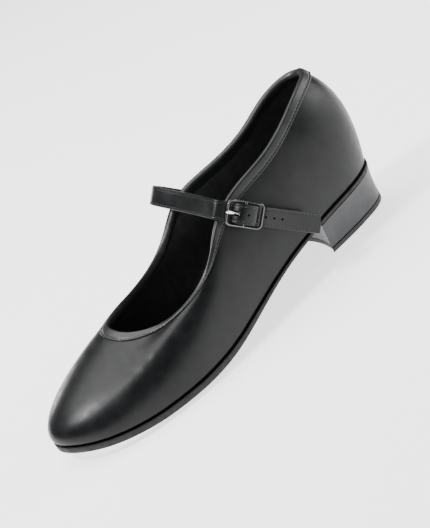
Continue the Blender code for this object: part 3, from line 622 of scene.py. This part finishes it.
def make_heel(looks):
    lift_low, lift_top = TAP_T + GAP, TAP_T + GAP + LIFT_T
    low_inset = HEEL_TAPER * (1 + LIFT_T / HEEL_HEIGHT)
    seat = heel_outline(SEAT_INSET - RIM, BREAST_X, BREAST_HOLLOW)
    seat[:, 2] = sole_under(seat[:, 0]) - SEAT_GAP
    foot = heel_outline(HEEL_TAPER, BREAST_X, BREAST_HOLLOW)
    foot[:, 2] = lift_top + GAP
    levels = []
    for t in np.linspace(0, 1, 15):
        waist = HEEL_WAIST * math.sin(math.pi * t)
        level = seat * (1 - t) + foot * t
        inward = (level - HEEL_MIDDLE) * [1, 1, 0]
        inward /= np.linalg.norm(inward, axis=1)[:, None]
        sides = (level[:, 0] > BREAST_X + 5)[:, None]
        levels.append(level - inward * waist * sides)
    points, faces = loft(levels)
    block = piece("heel_stack", points, faces, looks["heel"], "shoe", "heel_block", ["heel_block"])
    bevelled(block, 0.35)

    high = heel_outline(HEEL_TAPER - 0.3, BREAST_X, BREAST_HOLLOW)
    low = heel_outline(low_inset - 0.3, BREAST_X, BREAST_HOLLOW)
    high[:, 2], low[:, 2] = lift_top, lift_low
    points, faces = loft([high, (high + low) / 2, low])
    lift = piece("heel_lift", points, faces, looks["lift"], "shoe", "top_lift", ["top_lift"])
    bevelled(lift, 0.25)

    outline = heel_tap_outline(low_inset)
    points, faces = loft([outline + UP * TAP_T, outline])
    tap = piece("heel_tap_plate", points, faces, looks["tap"], "shoe", "tap_aluminium",
                ["heel_tap"])
    finish_tap(tap, HEEL_SCREWS, np.full(len(HEEL_SCREWS), 0.0))


def heel_tap_outline(low_inset):
    front = BREAST_X + BREAST_HOLLOW + TAP_INSET
    outline = heel_outline(low_inset + TAP_INSET, front, 0.0)
    back = outline[0, 0]
    outline[:, 0] -= TAP_INSET * (outline[:, 0] - front) / (back - front)
    outline[:, 2] = 0.0
    return outline


TOE_TAP_ROWS, TOE_TAP_COLUMNS = 48, 19


def make_toe_tap(look):
    """Plate under the toe, bent with the sole; its back edge is hollowed."""
    reach = np.linspace(0, TOE_TAP_REACH, TOE_TAP_ROWS + 1)[1:]
    sides = []
    for direction in (1, -1):
        points, outward = feather(direction * reach + 0.5)
        sides.append(points - outward * (TAP_INSET - RIM))
    points, outward = feather(np.array([0.5]))
    surface = list(points - outward * (TAP_INSET - RIM))
    share = np.linspace(0, 1, TOE_TAP_COLUMNS)[:, None]
    for number, (outer, inner) in enumerate(zip(*sides), 1):
        row = outer * (1 - share) + inner * share
        bow = 1 - (2 * share[:, 0] - 1) ** 2
        row[:, 0] -= TAP_INSET * bow * (number / TOE_TAP_ROWS) ** 2
        surface += list(row)
    surface = np.array(surface)
    surface[:, 2] = sole_under(surface[:, 0]) - GAP

    last = len(surface) - TOE_TAP_COLUMNS
    grid = [(a + 1, b + 1, c + 1, d + 1)
            for a, b, c, d in grid_faces(TOE_TAP_ROWS, TOE_TAP_COLUMNS, False, False)]
    grid += [(0, k, k + 1) for k in range(1, TOE_TAP_COLUMNS)]
    near = list(range(1, last, TOE_TAP_COLUMNS))
    far = list(range(TOE_TAP_COLUMNS, last, TOE_TAP_COLUMNS))
    rim = [0] + near + list(range(last, len(surface))) + far[::-1]
    size = len(surface)
    walls = [(a, b, b + size, a + size) for a, b in zip(rim, rim[1:] + rim[:1])]
    faces = grid + [tuple(k + size for k in face) for face in grid] + walls
    points = np.vstack([surface, surface - UP * TAP_T])
    tap = piece("toe_tap_plate", points, faces, look, "shoe", "tap_aluminium", ["toe_tap"])
    bottoms = np.array([sole_under(np.array([x]))[0] - GAP - TAP_T for x, _ in TOE_SCREWS])
    finish_tap(tap, TOE_SCREWS, bottoms)


def finish_tap(tap, spots, bottoms):
    """Countersunk holes and rounded edges."""
    cutters = []
    for (x, y), z in zip(spots, bottoms):
        head = SCREW_HEAD_R + GAP
        shape = turned([(head + 0.4, -1.0), (head, 0.55), (SCREW_SHANK_R + GAP, 2.1),
                        (SCREW_SHANK_R + GAP, 5.0)], (x, y, z))
        cutters.append(piece("cutter", *shape, tap.data.materials[0], None, "tap_aluminium"))
    cut(tap, cutters)
    bevelled(tap, 0.3)


def make_screws(look):
    """Countersunk cross-head screws; the head's face is sunk a little into the tap."""
    for side, spots, depth in (("toe", TOE_SCREWS, 5.2), ("heel", HEEL_SCREWS, 11.0)):
        for number, (x, y) in enumerate(spots, 1):
            tap_face = sole_under(np.array([x]))[0] - GAP - TAP_T if side == "toe" else 0.0
            z = tap_face + SCREW_SUNK
            rings = [(SCREW_HEAD_R - 0.25, 0.0), (SCREW_HEAD_R, 0.12), (SCREW_HEAD_R, 0.35),
                     (SCREW_SHANK_R, 1.8)]
            for thread in range(int((depth - 2.4) / THREAD_PITCH)):
                at = 2.1 + THREAD_PITCH * thread
                rings += [(SCREW_SHANK_R, at), (SCREW_SHANK_R - 0.25, at + THREAD_PITCH / 2)]
            rings += [(0.9, depth - 0.5), (0.2, depth)]
            name = f"{side}_screw_{number}"
            screw = piece(name, *turned(rings, (x, y, z)), look, "shoe", "steel",
                          [f"{side}_tap_screw_{number}"])
            turns = (0.3 + number, 0.3 + math.pi / 2 + number)
            cut(screw, [cross_cutter(x, y, z, turn, look) for turn in turns])
            screw.data.set_sharp_from_angle(angle=math.radians(35))


def cross_cutter(x, y, z, turn, look):
    long, wide, deep = 1.6, 0.3, 0.9
    corners = [(-long, -wide, -0.5), (long, -wide, -0.5), (long, wide, -0.5), (-long, wide, -0.5),
               (-long * 0.4, -wide * 0.7, deep), (long * 0.4, -wide * 0.7, deep),
               (long * 0.4, wide * 0.7, deep), (-long * 0.4, wide * 0.7, deep)]
    c, s = math.cos(turn), math.sin(turn)
    points = [(x + c * a - s * b, y + s * a + c * b, z + h) for a, b, h in corners]
    faces = [(0, 1, 2, 3), (4, 7, 6, 5), (0, 4, 5, 1), (1, 5, 6, 2), (2, 6, 7, 3), (3, 7, 4, 0)]
    return piece("cutter", points, faces, look, None, "steel")


# ---------------- strap and buckle
def strap_point(a, b, c=0.0):
    """Point in the last's frame from the strap's own coordinates."""
    return STRAP_OUT * a + STRAP_DOWN * b + STRAP_WIDE * (STRAP_MID + c)


def at_buckle(s, h):
    """(a, b) of a point s along the buckle and h out from it."""
    return BUCKLE + BUCKLE_RUN * s + BUCKLE_FACE * h


def wave(s):
    """Height of the strap's middle where it dips under the end bars and over the centre bar."""
    return float(cubic(*zip(*STRAP_WAVE), [s])[0, 0])


def band_section(width, thickness, grooved):
    """Section of a leather band: across, and out from its middle, once round."""
    half, edge = width / 2, min(0.75, thickness * 0.42)
    across = np.linspace(-(half - edge), half - edge, 41)
    crown = thickness / 2 + 0.10 * (1 - (across / half) ** 2)
    if grooved:
        crown = crown - 0.13 * hump(np.abs(across), half - STRAP_STITCH_IN, 0.30)
    right = [(half - edge * (1 - math.cos(t)), (thickness / 2) * math.sin(t))
             for t in np.linspace(math.pi / 2, -math.pi / 2, 11)[1:-1]]
    under = np.linspace(half - edge, -(half - edge), 9)
    left = [(-x, z) for x, z in right[::-1]]
    return (list(zip(across, crown)) + right + [(x, -thickness / 2) for x in under] + left)


def headings(path):
    """Unit steps along a path in the strap's plane, and outward across it."""
    ahead = np.gradient(path, axis=0)
    ahead /= np.linalg.norm(ahead, axis=1)[:, None]
    return ahead, np.column_stack([ahead[:, 1], -ahead[:, 0]])


def band(path, section, ends=(None, None)):
    """Points and faces of a band along a path in the strap's plane; an end may be rounded."""
    path = np.asarray(path)
    ahead, out = headings(path)
    run = np.concatenate([[0.0], np.cumsum(np.linalg.norm(np.diff(path, axis=0), axis=1))])
    widest = max(c for c, _ in section)
    sections = []
    for p, f, o, r in zip(path, ahead, out, run):
        left = [(r, ends[0]), (run[-1] - r, ends[1])]
        narrow, thin = 1.0, 1.0
        for distance, corner in left:
            if corner and distance < corner:
                t = 1 - distance / corner
                narrow = (widest - corner * (1 - math.sqrt(max(0.0, 1 - t * t)))) / widest
            if corner and distance < 0.6:
                thin = 0.35 + 0.65 * math.sqrt(max(0.0, 1 - (1 - distance / 0.6) ** 2))
        slant = SLANT * fade(r, run[-1] - 7, run[-1]) if ends[1] else 0.0
        ring = []
        for c, h in section:
            spot = p + o * h * thin + f * slant * (c / widest)
            ring.append(strap_point(*spot, c * narrow))
        sections.append(ring)
    return tube(sections, closed=False)


def strap_run():
    """Path of the middle of the strap from its sewn end to the end of its tail."""
    through = [at_buckle(s, wave(s)) for s, _ in STRAP_WAVE]
    rest = [at_buckle(12.0, -1.95), at_buckle(TAIL_START + GAP / 2, -2.3)]
    start, end = rest[-1], np.array(TAIL_END)
    tail = [start + (end - start) * t for t in (0.15, 0.4, 0.7, 1.0)]
    points = STRAP_PATH + [tuple(p) for p in [at_buckle(-11.8, -2.9)] + through + rest + tail]
    return smooth_path(points, 0.55)


def punch(middle, along, look):
    face = np.array([along[1], -along[0]])
    place = strap_point(*(middle - face * 3))
    axis = STRAP_OUT * face[0] + STRAP_DOWN * face[1]
    shape = turned([(HOLE_R * HOLE_CLOSED, 0.0), (HOLE_R * HOLE_CLOSED, 6.0)], place, axis, 20)
    return piece("cutter", *shape, look, None, "strap_leather")


def slot_cutter(slot, look):
    """Box cutter for a slot given by where it starts and ends and its half width."""
    start, end, half = slot
    corners = [strap_point(*at_buckle(s, h), c) for s in (start, end)
               for h in (-SLOT_REACH, SLOT_REACH) for c in (-half, half)]
    faces = [(0, 1, 3, 2), (4, 6, 7, 5), (0, 4, 5, 1), (2, 3, 7, 6), (0, 2, 6, 4), (1, 5, 7, 3)]
    return piece("cutter", corners, faces, look, None, "strap_leather")


def bend_with_tail(obj):
    """Bake the object's transform into its mesh."""
    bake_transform(obj)


def make_strap(look, thread):
    path = strap_run()
    section = band_section(STRAP_W, STRAP_T, True)
    points, faces = band(path, section, ends=(TAIL_CORNER, TAIL_CORNER))
    strap = piece("ankle_strap", points, faces, look, None, "strap_leather")
    cutters = [slot_cutter(PRONG_SLOT, look)]
    start = at_buckle(TAIL_START + GAP / 2, -2.3)
    along = (np.array(TAIL_END) - start) / np.linalg.norm(np.array(TAIL_END) - start)
    for s in HOLE_AT:
        if s > TAIL_START:
            middle, run = start + along * (s - TAIL_START), along
        else:
            middle = at_buckle(s, wave(s) if s < BAR_REACH else -1.95)
            run = at_buckle(s + 0.5, wave(s + 0.5)) - at_buckle(s - 0.5, wave(s - 0.5))
            run = run / np.linalg.norm(run)
        cutters.append(punch(middle, run, look))
    cut(strap, cutters)
    strap.data.set_sharp_from_angle(angle=math.radians(50))
    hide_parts("instep_strap", "strap_tail")
    bend_with_tail(strap)

    points, faces = strap_threads(path)
    sewing = piece("strap_stitches", points, faces, thread, None, "strap_leather")
    bend_with_tail(sewing)


def strap_threads(path):
    """A row of stitches inside each edge, joined across near the end of the tail."""
    out = headings(path)[1]
    half = STRAP_W / 2 - STRAP_STITCH_IN
    keep = slice(4, -3)
    lines = []
    for side in (-half, half):
        spots = [strap_point(*(p + o * (STRAP_T / 2 - 0.05)), side)
                 for p, o in zip(path[keep], out[keep])]
        normals = [STRAP_OUT * o[0] + STRAP_DOWN * o[1] for o in out[keep]]
        lines.append(stitches(spots, normals))
    p, o = path[-4], out[-4]
    spots = [strap_point(*(p + o * (STRAP_T / 2)), c) for c in np.linspace(-half, half, 9)]
    normals = [STRAP_OUT * o[0] + STRAP_DOWN * o[1]] * len(spots)
    lines.append(stitches(spots, normals))
    return join(*lines)


def arc(radius, start, stop, count):
    angles = np.radians(np.linspace(start, stop, count))
    return [(radius * math.cos(t), radius * math.sin(t)) for t in angles]


def make_chape(look):
    """Leather loop that holds the buckle's centre bar."""
    chape = [(25, -10.2), (18, -8.7), (10, -6.2), (5.5, -3.9), (2.6, -2.3)]
    chape += arc(LOOP_R, -75, -320, 15)
    chape += [(3.0, -0.55), (6.0, -2.7), (10, -4.8), (18, -7.4), (25, -9.0)]
    path = smooth_path([at_buckle(s, h) for s, h in chape], 0.4)
    points, faces = band(path, band_section(CHAPE_W, CHAPE_T, False))
    tab = piece("buckle_loop", points, faces, look, "shoe", "strap_leather", ["buckle_chape"])
    cut(tab, [slot_cutter(CHAPE_SLOT, look)])


def wire(centres, radii, across, closed, sides=16):
    """Tube of wire along centres given as (s, h, c) at the buckle; radii are across and out."""
    centres = np.asarray(centres, float)
    if closed:
        ahead = np.roll(centres, -1, axis=0) - np.roll(centres, 1, axis=0)
    else:
        ahead = np.gradient(centres, axis=0)
    ahead /= np.linalg.norm(ahead, axis=1)[:, None]
    sections = []
    for number, (centre, forward) in enumerate(zip(centres, ahead)):
        side = np.cross(forward, across)
        side /= np.linalg.norm(side)
        up = np.cross(side, forward)
        wide, deep = radii[number] if np.ndim(radii) > 1 else radii
        ring = []
        for k in range(sides):
            angle = 2 * math.pi * (k + 0.5) / sides
            s, h, c = centre + wide * math.cos(angle) * side + deep * math.sin(angle) * up
            ring.append(strap_point(*at_buckle(s, h), c))
        sections.append(ring)
    return tube(sections, closed)


def make_buckle(metal, bright):
    centres = []
    for quarter, (ds, dc) in enumerate([(1, 1), (-1, 1), (-1, -1), (1, -1)]):
        for k in range(11):
            angle = math.pi / 2 * (quarter + k / 10)
            s = ds * (BAR_REACH - BUCKLE_CORNER) + BUCKLE_CORNER * math.cos(angle)
            c = dc * (ARM_REACH - BUCKLE_CORNER) + BUCKLE_CORNER * math.sin(angle)
            centres.append((s, BAR_RISE * (s / BAR_REACH) ** 2, c))
        s_end, _, c_end = centres[-1]
        s_goal, c_goal = (-s_end, c_end) if quarter % 2 == 0 else (s_end, -c_end)
        for t in np.linspace(0, 1, 12)[1:-1]:
            s = s_end + (s_goal - s_end) * t
            c = c_end + (c_goal - c_end) * t
            centres.append((s, BAR_RISE * (s / BAR_REACH) ** 2, c))
    rim = wire(centres, (BAR_R, BAR_R * 0.94), (0, 1, 0), True)
    bar = wire([(0, 0, c) for c in np.linspace(-ARM_REACH, ARM_REACH, 15)],
               (CENTRE_BAR_R, CENTRE_BAR_R), (0, 1, 0), False)
    piece("buckle_rim", *join(rim, bar), metal, "buckle", "buckle_metal", ["buckle_frame"],
          sharp=50)

    tongue = arc(LOOP_R, 60, -170, 15)
    tongue += [(-2.1, 0.7), (-4.0, 0.75), (-6.4, 1.2), (-8.6, 1.75),
               (-BAR_REACH - 1.2, BAR_RISE + BAR_R + GAP + 0.45)]
    path = smooth_path(tongue, 0.3)
    count = len(path)
    taper = np.interp(np.arange(count) / count, [0, 0.04, 0.5, 0.93, 1.0], [0.35, 1, 1, 0.8, 0.35])
    radii = [(0.42 * t, 0.9 * t) for t in taper]
    centres = [(s, h, 0.0) for s, h in path]
    piece("buckle_pin", *wire(centres, radii, (0, 0, 1), False), bright, "prong", "prong_metal",
          ["buckle_prong"], sharp=60)


# ---------------- materials
class Look:
    """A Principled material whose colour, roughness and bump are built from noise."""

    def __init__(self, name, colour, roughness, **sockets):
        self.material = bpy.data.materials.new(name)
        self.material.use_nodes = True
        self.material.diffuse_color = (*colour, 1.0)
        self.nodes = self.material.node_tree.nodes
        self.links = self.material.node_tree.links
        self.shader = self.nodes["Principled BSDF"]
        self.shader.inputs["Base Color"].default_value = (*colour, 1.0)
        self.shader.inputs["Roughness"].default_value = roughness
        for socket, value in sockets.items():
            self.shader.inputs[socket.replace("_", " ")].default_value = value
        self.place = self.nodes.new("ShaderNodeTexCoord").outputs["Object"]
        self.height = None

    def stretched(self, x, y, z):
        mapping = self.nodes.new("ShaderNodeMapping")
        mapping.inputs["Scale"].default_value = (x, y, z)
        self.links.new(self.place, mapping.inputs["Vector"])
        return mapping.outputs["Vector"]

    def noise(self, size, detail=3.0, roughness=0.55, distortion=0.0, place=None):
        """Noise whose features are about the given size in mm."""
        node = self.nodes.new("ShaderNodeTexNoise")
        node.inputs["Scale"].default_value = 1 / (size * MM)
        node.inputs["Detail"].default_value = detail
        node.inputs["Roughness"].default_value = roughness
        node.inputs["Distortion"].default_value = distortion
        self.links.new(place or self.place, node.inputs["Vector"])
        return node.outputs["Fac"]

    def cells(self, size, feature="F1", place=None):
        node = self.nodes.new("ShaderNodeTexVoronoi")
        node.feature = feature
        node.inputs["Scale"].default_value = 1 / (size * MM)
        self.links.new(place or self.place, node.inputs["Vector"])
        return node.outputs["Distance"]

    def ramp(self, value, low, high, start, stop):
        """Value's range low..high mapped to start..stop."""
        node = self.nodes.new("ShaderNodeMapRange")
        for socket, number in (("From Min", low), ("From Max", high), ("To Min", start),
                               ("To Max", stop)):
            node.inputs[socket].default_value = number
        self.links.new(value, node.inputs["Value"])
        return node.outputs["Result"]

    def tint(self, value, dark, light):
        node = self.nodes.new("ShaderNodeMix")
        node.data_type = "RGBA"
        node.inputs[6].default_value = (*dark, 1.0)
        node.inputs[7].default_value = (*light, 1.0)
        self.links.new(value, node.inputs[0])
        self.links.new(node.outputs[2], self.shader.inputs["Base Color"])

    def mottle(self, size, detail, dark, light):
        """Patches of a size in mm between two colours."""
        self.tint(self.ramp(self.noise(size, detail), 0.35, 0.7, 0, 1), dark, light)

    def wear(self, size, smooth, rough):
        """Patches of a size in mm between two roughnesses."""
        self.polish(self.ramp(self.noise(size, 5), 0.35, 0.7, smooth, rough))

    def polish(self, value):
        self.links.new(value, self.shader.inputs["Roughness"])

    def relief(self, value, depth, strength=1.0):
        """Add relief of a depth in mm; calls stack."""
        node = self.nodes.new("ShaderNodeBump")
        node.inputs["Strength"].default_value = strength
        node.inputs["Distance"].default_value = depth * MM
        self.links.new(value, node.inputs["Height"])
        if self.height is not None:
            self.links.new(self.height, node.inputs["Normal"])
        self.height = node.outputs["Normal"]
        self.links.new(self.height, self.shader.inputs["Normal"])


def leather(name, dark, light, smooth, rough, grain=0.055, **sockets):
    """Fine-grained leather: pebbled pores, faint wrinkles and uneven polish."""
    look = Look(name, light, (smooth + rough) / 2, **sockets)
    look.tint(look.ramp(look.noise(11.0, 4), 0.35, 0.68, 0, 1), dark, light)
    look.polish(look.ramp(look.noise(5.0, 5), 0.35, 0.70, smooth, rough))
    look.relief(look.noise(7.0, 2), 0.05, 0.6)
    look.relief(look.noise(1.6, 4, distortion=0.6), grain * 0.8, 0.6)
    look.relief(look.cells(0.55, "DISTANCE_TO_EDGE"), grain, 0.5)
    return look.material


def looks_of_shoe():
    looks = {
        "upper": leather("upper_hide", (0.0038, 0.0040, 0.0044), (0.0072, 0.0076, 0.0083), 0.30,
                         0.42, Specular_IOR_Level=0.20),
        "strap": leather("strap_hide", (0.0038, 0.0040, 0.0044), (0.0072, 0.0076, 0.0083), 0.30,
                         0.42, Specular_IOR_Level=0.24),
        "binding": leather("binding_hide", (0.009, 0.0094, 0.0102), (0.017, 0.0175, 0.0188), 0.32,
                           0.45, grain=0.04, Specular_IOR_Level=0.34),
    }
    lining = Look("lining_cloth", (0.055, 0.056, 0.057), 0.85, Specular_IOR_Level=0.3)
    lining.mottle(6.0, 4, (0.045, 0.046, 0.047), (0.068, 0.069, 0.070))
    lining.relief(lining.noise(0.35, 2), 0.08, 0.7)
    looks["lining"] = lining.material
    looks["sock"] = leather("sock_hide", (0.042, 0.043, 0.044), (0.066, 0.067, 0.068), 0.55,
                            0.75, Specular_IOR_Level=0.3)

    thread = Look("thread", (0.050, 0.051, 0.054), 0.55, Sheen_Weight=0.1)
    thread.relief(thread.noise(0.25, 2, distortion=1.0), 0.05, 0.8)
    looks["thread"] = thread.material
    looks["strap_thread"] = Look("strap_thread", (0.014, 0.0145, 0.0155), 0.6).material

    sole = Look("sole_hide", (0.008, 0.008, 0.009), 0.55, Specular_IOR_Level=0.3)
    sole.mottle(9.0, 5, (0.006, 0.006, 0.0065), (0.013, 0.013, 0.014))
    sole.wear(3.0, 0.48, 0.72)
    sole.relief(sole.noise(0.5, 4, place=sole.stretched(0.35, 1.0, 1.0)), 0.10, 0.6)
    looks["sole"] = sole.material

    heel = Look("heel_lacquer", (0.030, 0.031, 0.034), 0.42, Specular_IOR_Level=0.4)
    heel.mottle(14.0, 3, (0.025, 0.026, 0.028), (0.035, 0.036, 0.039))
    heel.wear(2.5, 0.36, 0.50)
    heel.relief(heel.noise(0.8, 4), 0.03, 0.5)
    looks["heel"] = heel.material

    lift = Look("lift_rubber", (0.015, 0.0155, 0.0165), 0.6, Specular_IOR_Level=0.35)
    lift.mottle(4.0, 5, (0.012, 0.0125, 0.0135), (0.019, 0.0195, 0.021))
    lift.relief(lift.noise(0.4, 3), 0.06, 0.6)
    looks["lift"] = lift.material

    tap = Look("tap_plate", (0.72, 0.73, 0.75), 0.3, Metallic=1.0)
    tap.tint(tap.ramp(tap.noise(5.0, 5), 0.3, 0.7, 0, 1), (0.62, 0.63, 0.65), (0.80, 0.81, 0.82))
    tap.polish(tap.ramp(tap.noise(1.2, 6, place=tap.stretched(0.15, 1.0, 1.0)), 0.3, 0.7,
                        0.20, 0.42))
    tap.relief(tap.noise(0.6, 5, place=tap.stretched(0.08, 1.0, 1.0)), 0.03, 0.6)
    looks["tap"] = tap.material

    for name, colour, smooth, rough in (
            ("steel", (0.58, 0.58, 0.60), 0.24, 0.38), ("buckle", (0.10, 0.10, 0.105), 0.20, 0.34),
            ("prong", (0.66, 0.66, 0.68), 0.18, 0.30)):
        metal = Look(name + "_plate", colour, (smooth + rough) / 2, Metallic=1.0)
        metal.polish(metal.ramp(metal.noise(0.8, 5), 0.3, 0.7, smooth, rough))
        metal.relief(metal.noise(0.4, 4), 0.012, 0.5)
        looks[name] = metal.material

    for name, dark, light, size in (
            ("stiffener", (0.36, 0.30, 0.21), (0.50, 0.43, 0.32), 1.2),
            ("board", (0.31, 0.20, 0.11), (0.45, 0.31, 0.19), 0.9),
            ("cork", (0.20, 0.12, 0.06), (0.46, 0.32, 0.18), 1.6)):
        fibre = Look(name + "_fibre", light, 0.85)
        fibre.tint(fibre.ramp(fibre.noise(size, 5), 0.35, 0.65, 0, 1), dark, light)
        fibre.relief(fibre.noise(size * 0.5, 4), 0.12, 0.7)
        looks[name] = fibre.material
    return looks


# Nodes that stay as the model has them, hidden inside the shoe, and the look each is given.
KEPT_NODES = {
    "heel_counter": "stiffener", "toe_puff": "stiffener", "insole_board": "board",
    "bottom_filler": "cork", "steel_shank": "steel", "heel_attaching_screw": "steel",
    "heel_nail_1": "steel", "heel_nail_2": "steel", "heel_nail_3": "steel", "heel_nail_4": "steel"}


def dress_kept_nodes(looks):
    for node, look in KEPT_NODES.items():
        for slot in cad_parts[node].material_slots:
            slot.material = looks[look]


# ---------------- studio
def make_floor():
    bm = bmesh.new()
    bmesh.ops.create_grid(bm, x_segments=8, y_segments=8, size=3.0)
    mesh = bpy.data.meshes.new("floor")
    bm.to_mesh(mesh)
    bm.free()
    paper = Look("floor_paper", (0.75, 0.75, 0.75), 0.9, Specular_IOR_Level=0.1,
                 Emission_Color=(1.0, 1.0, 1.0, 1.0), Emission_Strength=1.8)
    paper.relief(paper.noise(3.0, 2), 0.02, 0.2)
    mesh.materials.append(paper.material)
    floor = bpy.data.objects.new("floor", mesh)
    bpy.context.scene.collection.objects.link(floor)


def towards(azimuth, elevation):
    """Direction at an azimuth from -Y, positive towards +X, and an elevation, in radians."""
    level = math.cos(elevation)
    return Vector((math.sin(azimuth) * level, -math.cos(azimuth) * level, math.sin(elevation)))


def area_light(name, aim, azimuth, elevation, distance, size, power):
    """Soft panel facing aim from a direction; size is its width and height in metres."""
    away = towards(math.radians(azimuth), math.radians(elevation))
    lamp = bpy.data.lights.new(name, "AREA")
    lamp.shape = "RECTANGLE"
    lamp.size, lamp.size_y = size
    lamp.energy = power
    obj = bpy.data.objects.new(name, lamp)
    obj.location = Vector(aim) + away * distance
    obj.rotation_euler = away.to_track_quat("Z", "Y").to_euler()
    bpy.context.scene.collection.objects.link(obj)


def make_studio():
    make_floor()
    world = bpy.data.worlds.new("studio")
    world.use_nodes = True
    background = world.node_tree.nodes["Background"]
    background.inputs["Color"].default_value = (1.0, 1.0, 1.0, 1.0)
    background.inputs["Strength"].default_value = 0.15
    bpy.context.scene.world = world
    middle = (0.0, 0.0, 0.03)
    area_light("overhead", middle, 180, 74, 1.3, (1.3, 1.0), 27)
    area_light("toe_side", middle, -92, 57, 1.2, (0.16, 0.20), 17)
    area_light("back_low", (0.0, 0.0, 0.06), -170, 5, 1.0, (0.16, 0.12), 1.5)
    area_light("heel_side", middle, 70, 14, 1.2, (0.7, 0.5), 9)


def make_camera():
    r = VIEW_ROLL
    back = towards(VIEW_AZIMUTH, VIEW_ELEVATION)
    level = towards(VIEW_AZIMUTH + math.pi / 2, 0.0)
    upright = back.cross(level)
    right = level * math.cos(r) - upright * math.sin(r)
    up = level * math.sin(r) + upright * math.cos(r)
    data = bpy.data.cameras.new("view")
    data.sensor_fit = "HORIZONTAL"
    data.sensor_width = SENSOR
    data.lens = VIEW_LENS
    camera = bpy.data.objects.new("view", data)
    camera.matrix_world = Matrix((
        (right.x, up.x, back.x, 0), (right.y, up.y, back.y, 0), (right.z, up.z, back.z, 0),
        (0, 0, 0, 1)))
    camera.location = VIEW_AIM + back * VIEW_DISTANCE
    bpy.context.scene.collection.objects.link(camera)
    bpy.context.scene.camera = camera


def main():
    looks = looks_of_shoe()
    dress_kept_nodes(looks)
    make_upper(looks["upper"])
    make_lining(looks["lining"])
    make_binding(looks["binding"], looks["thread"])
    make_outsole(looks["sole"])
    make_sock(looks["sock"])
    make_heel(looks)
    make_toe_tap(looks["tap"])
    make_screws(looks["steel"])
    make_strap(looks["strap"], looks["strap_thread"])
    make_chape(looks["strap"])
    make_buckle(looks["buckle"], looks["prong"])
    make_camera()
    make_studio()


main()
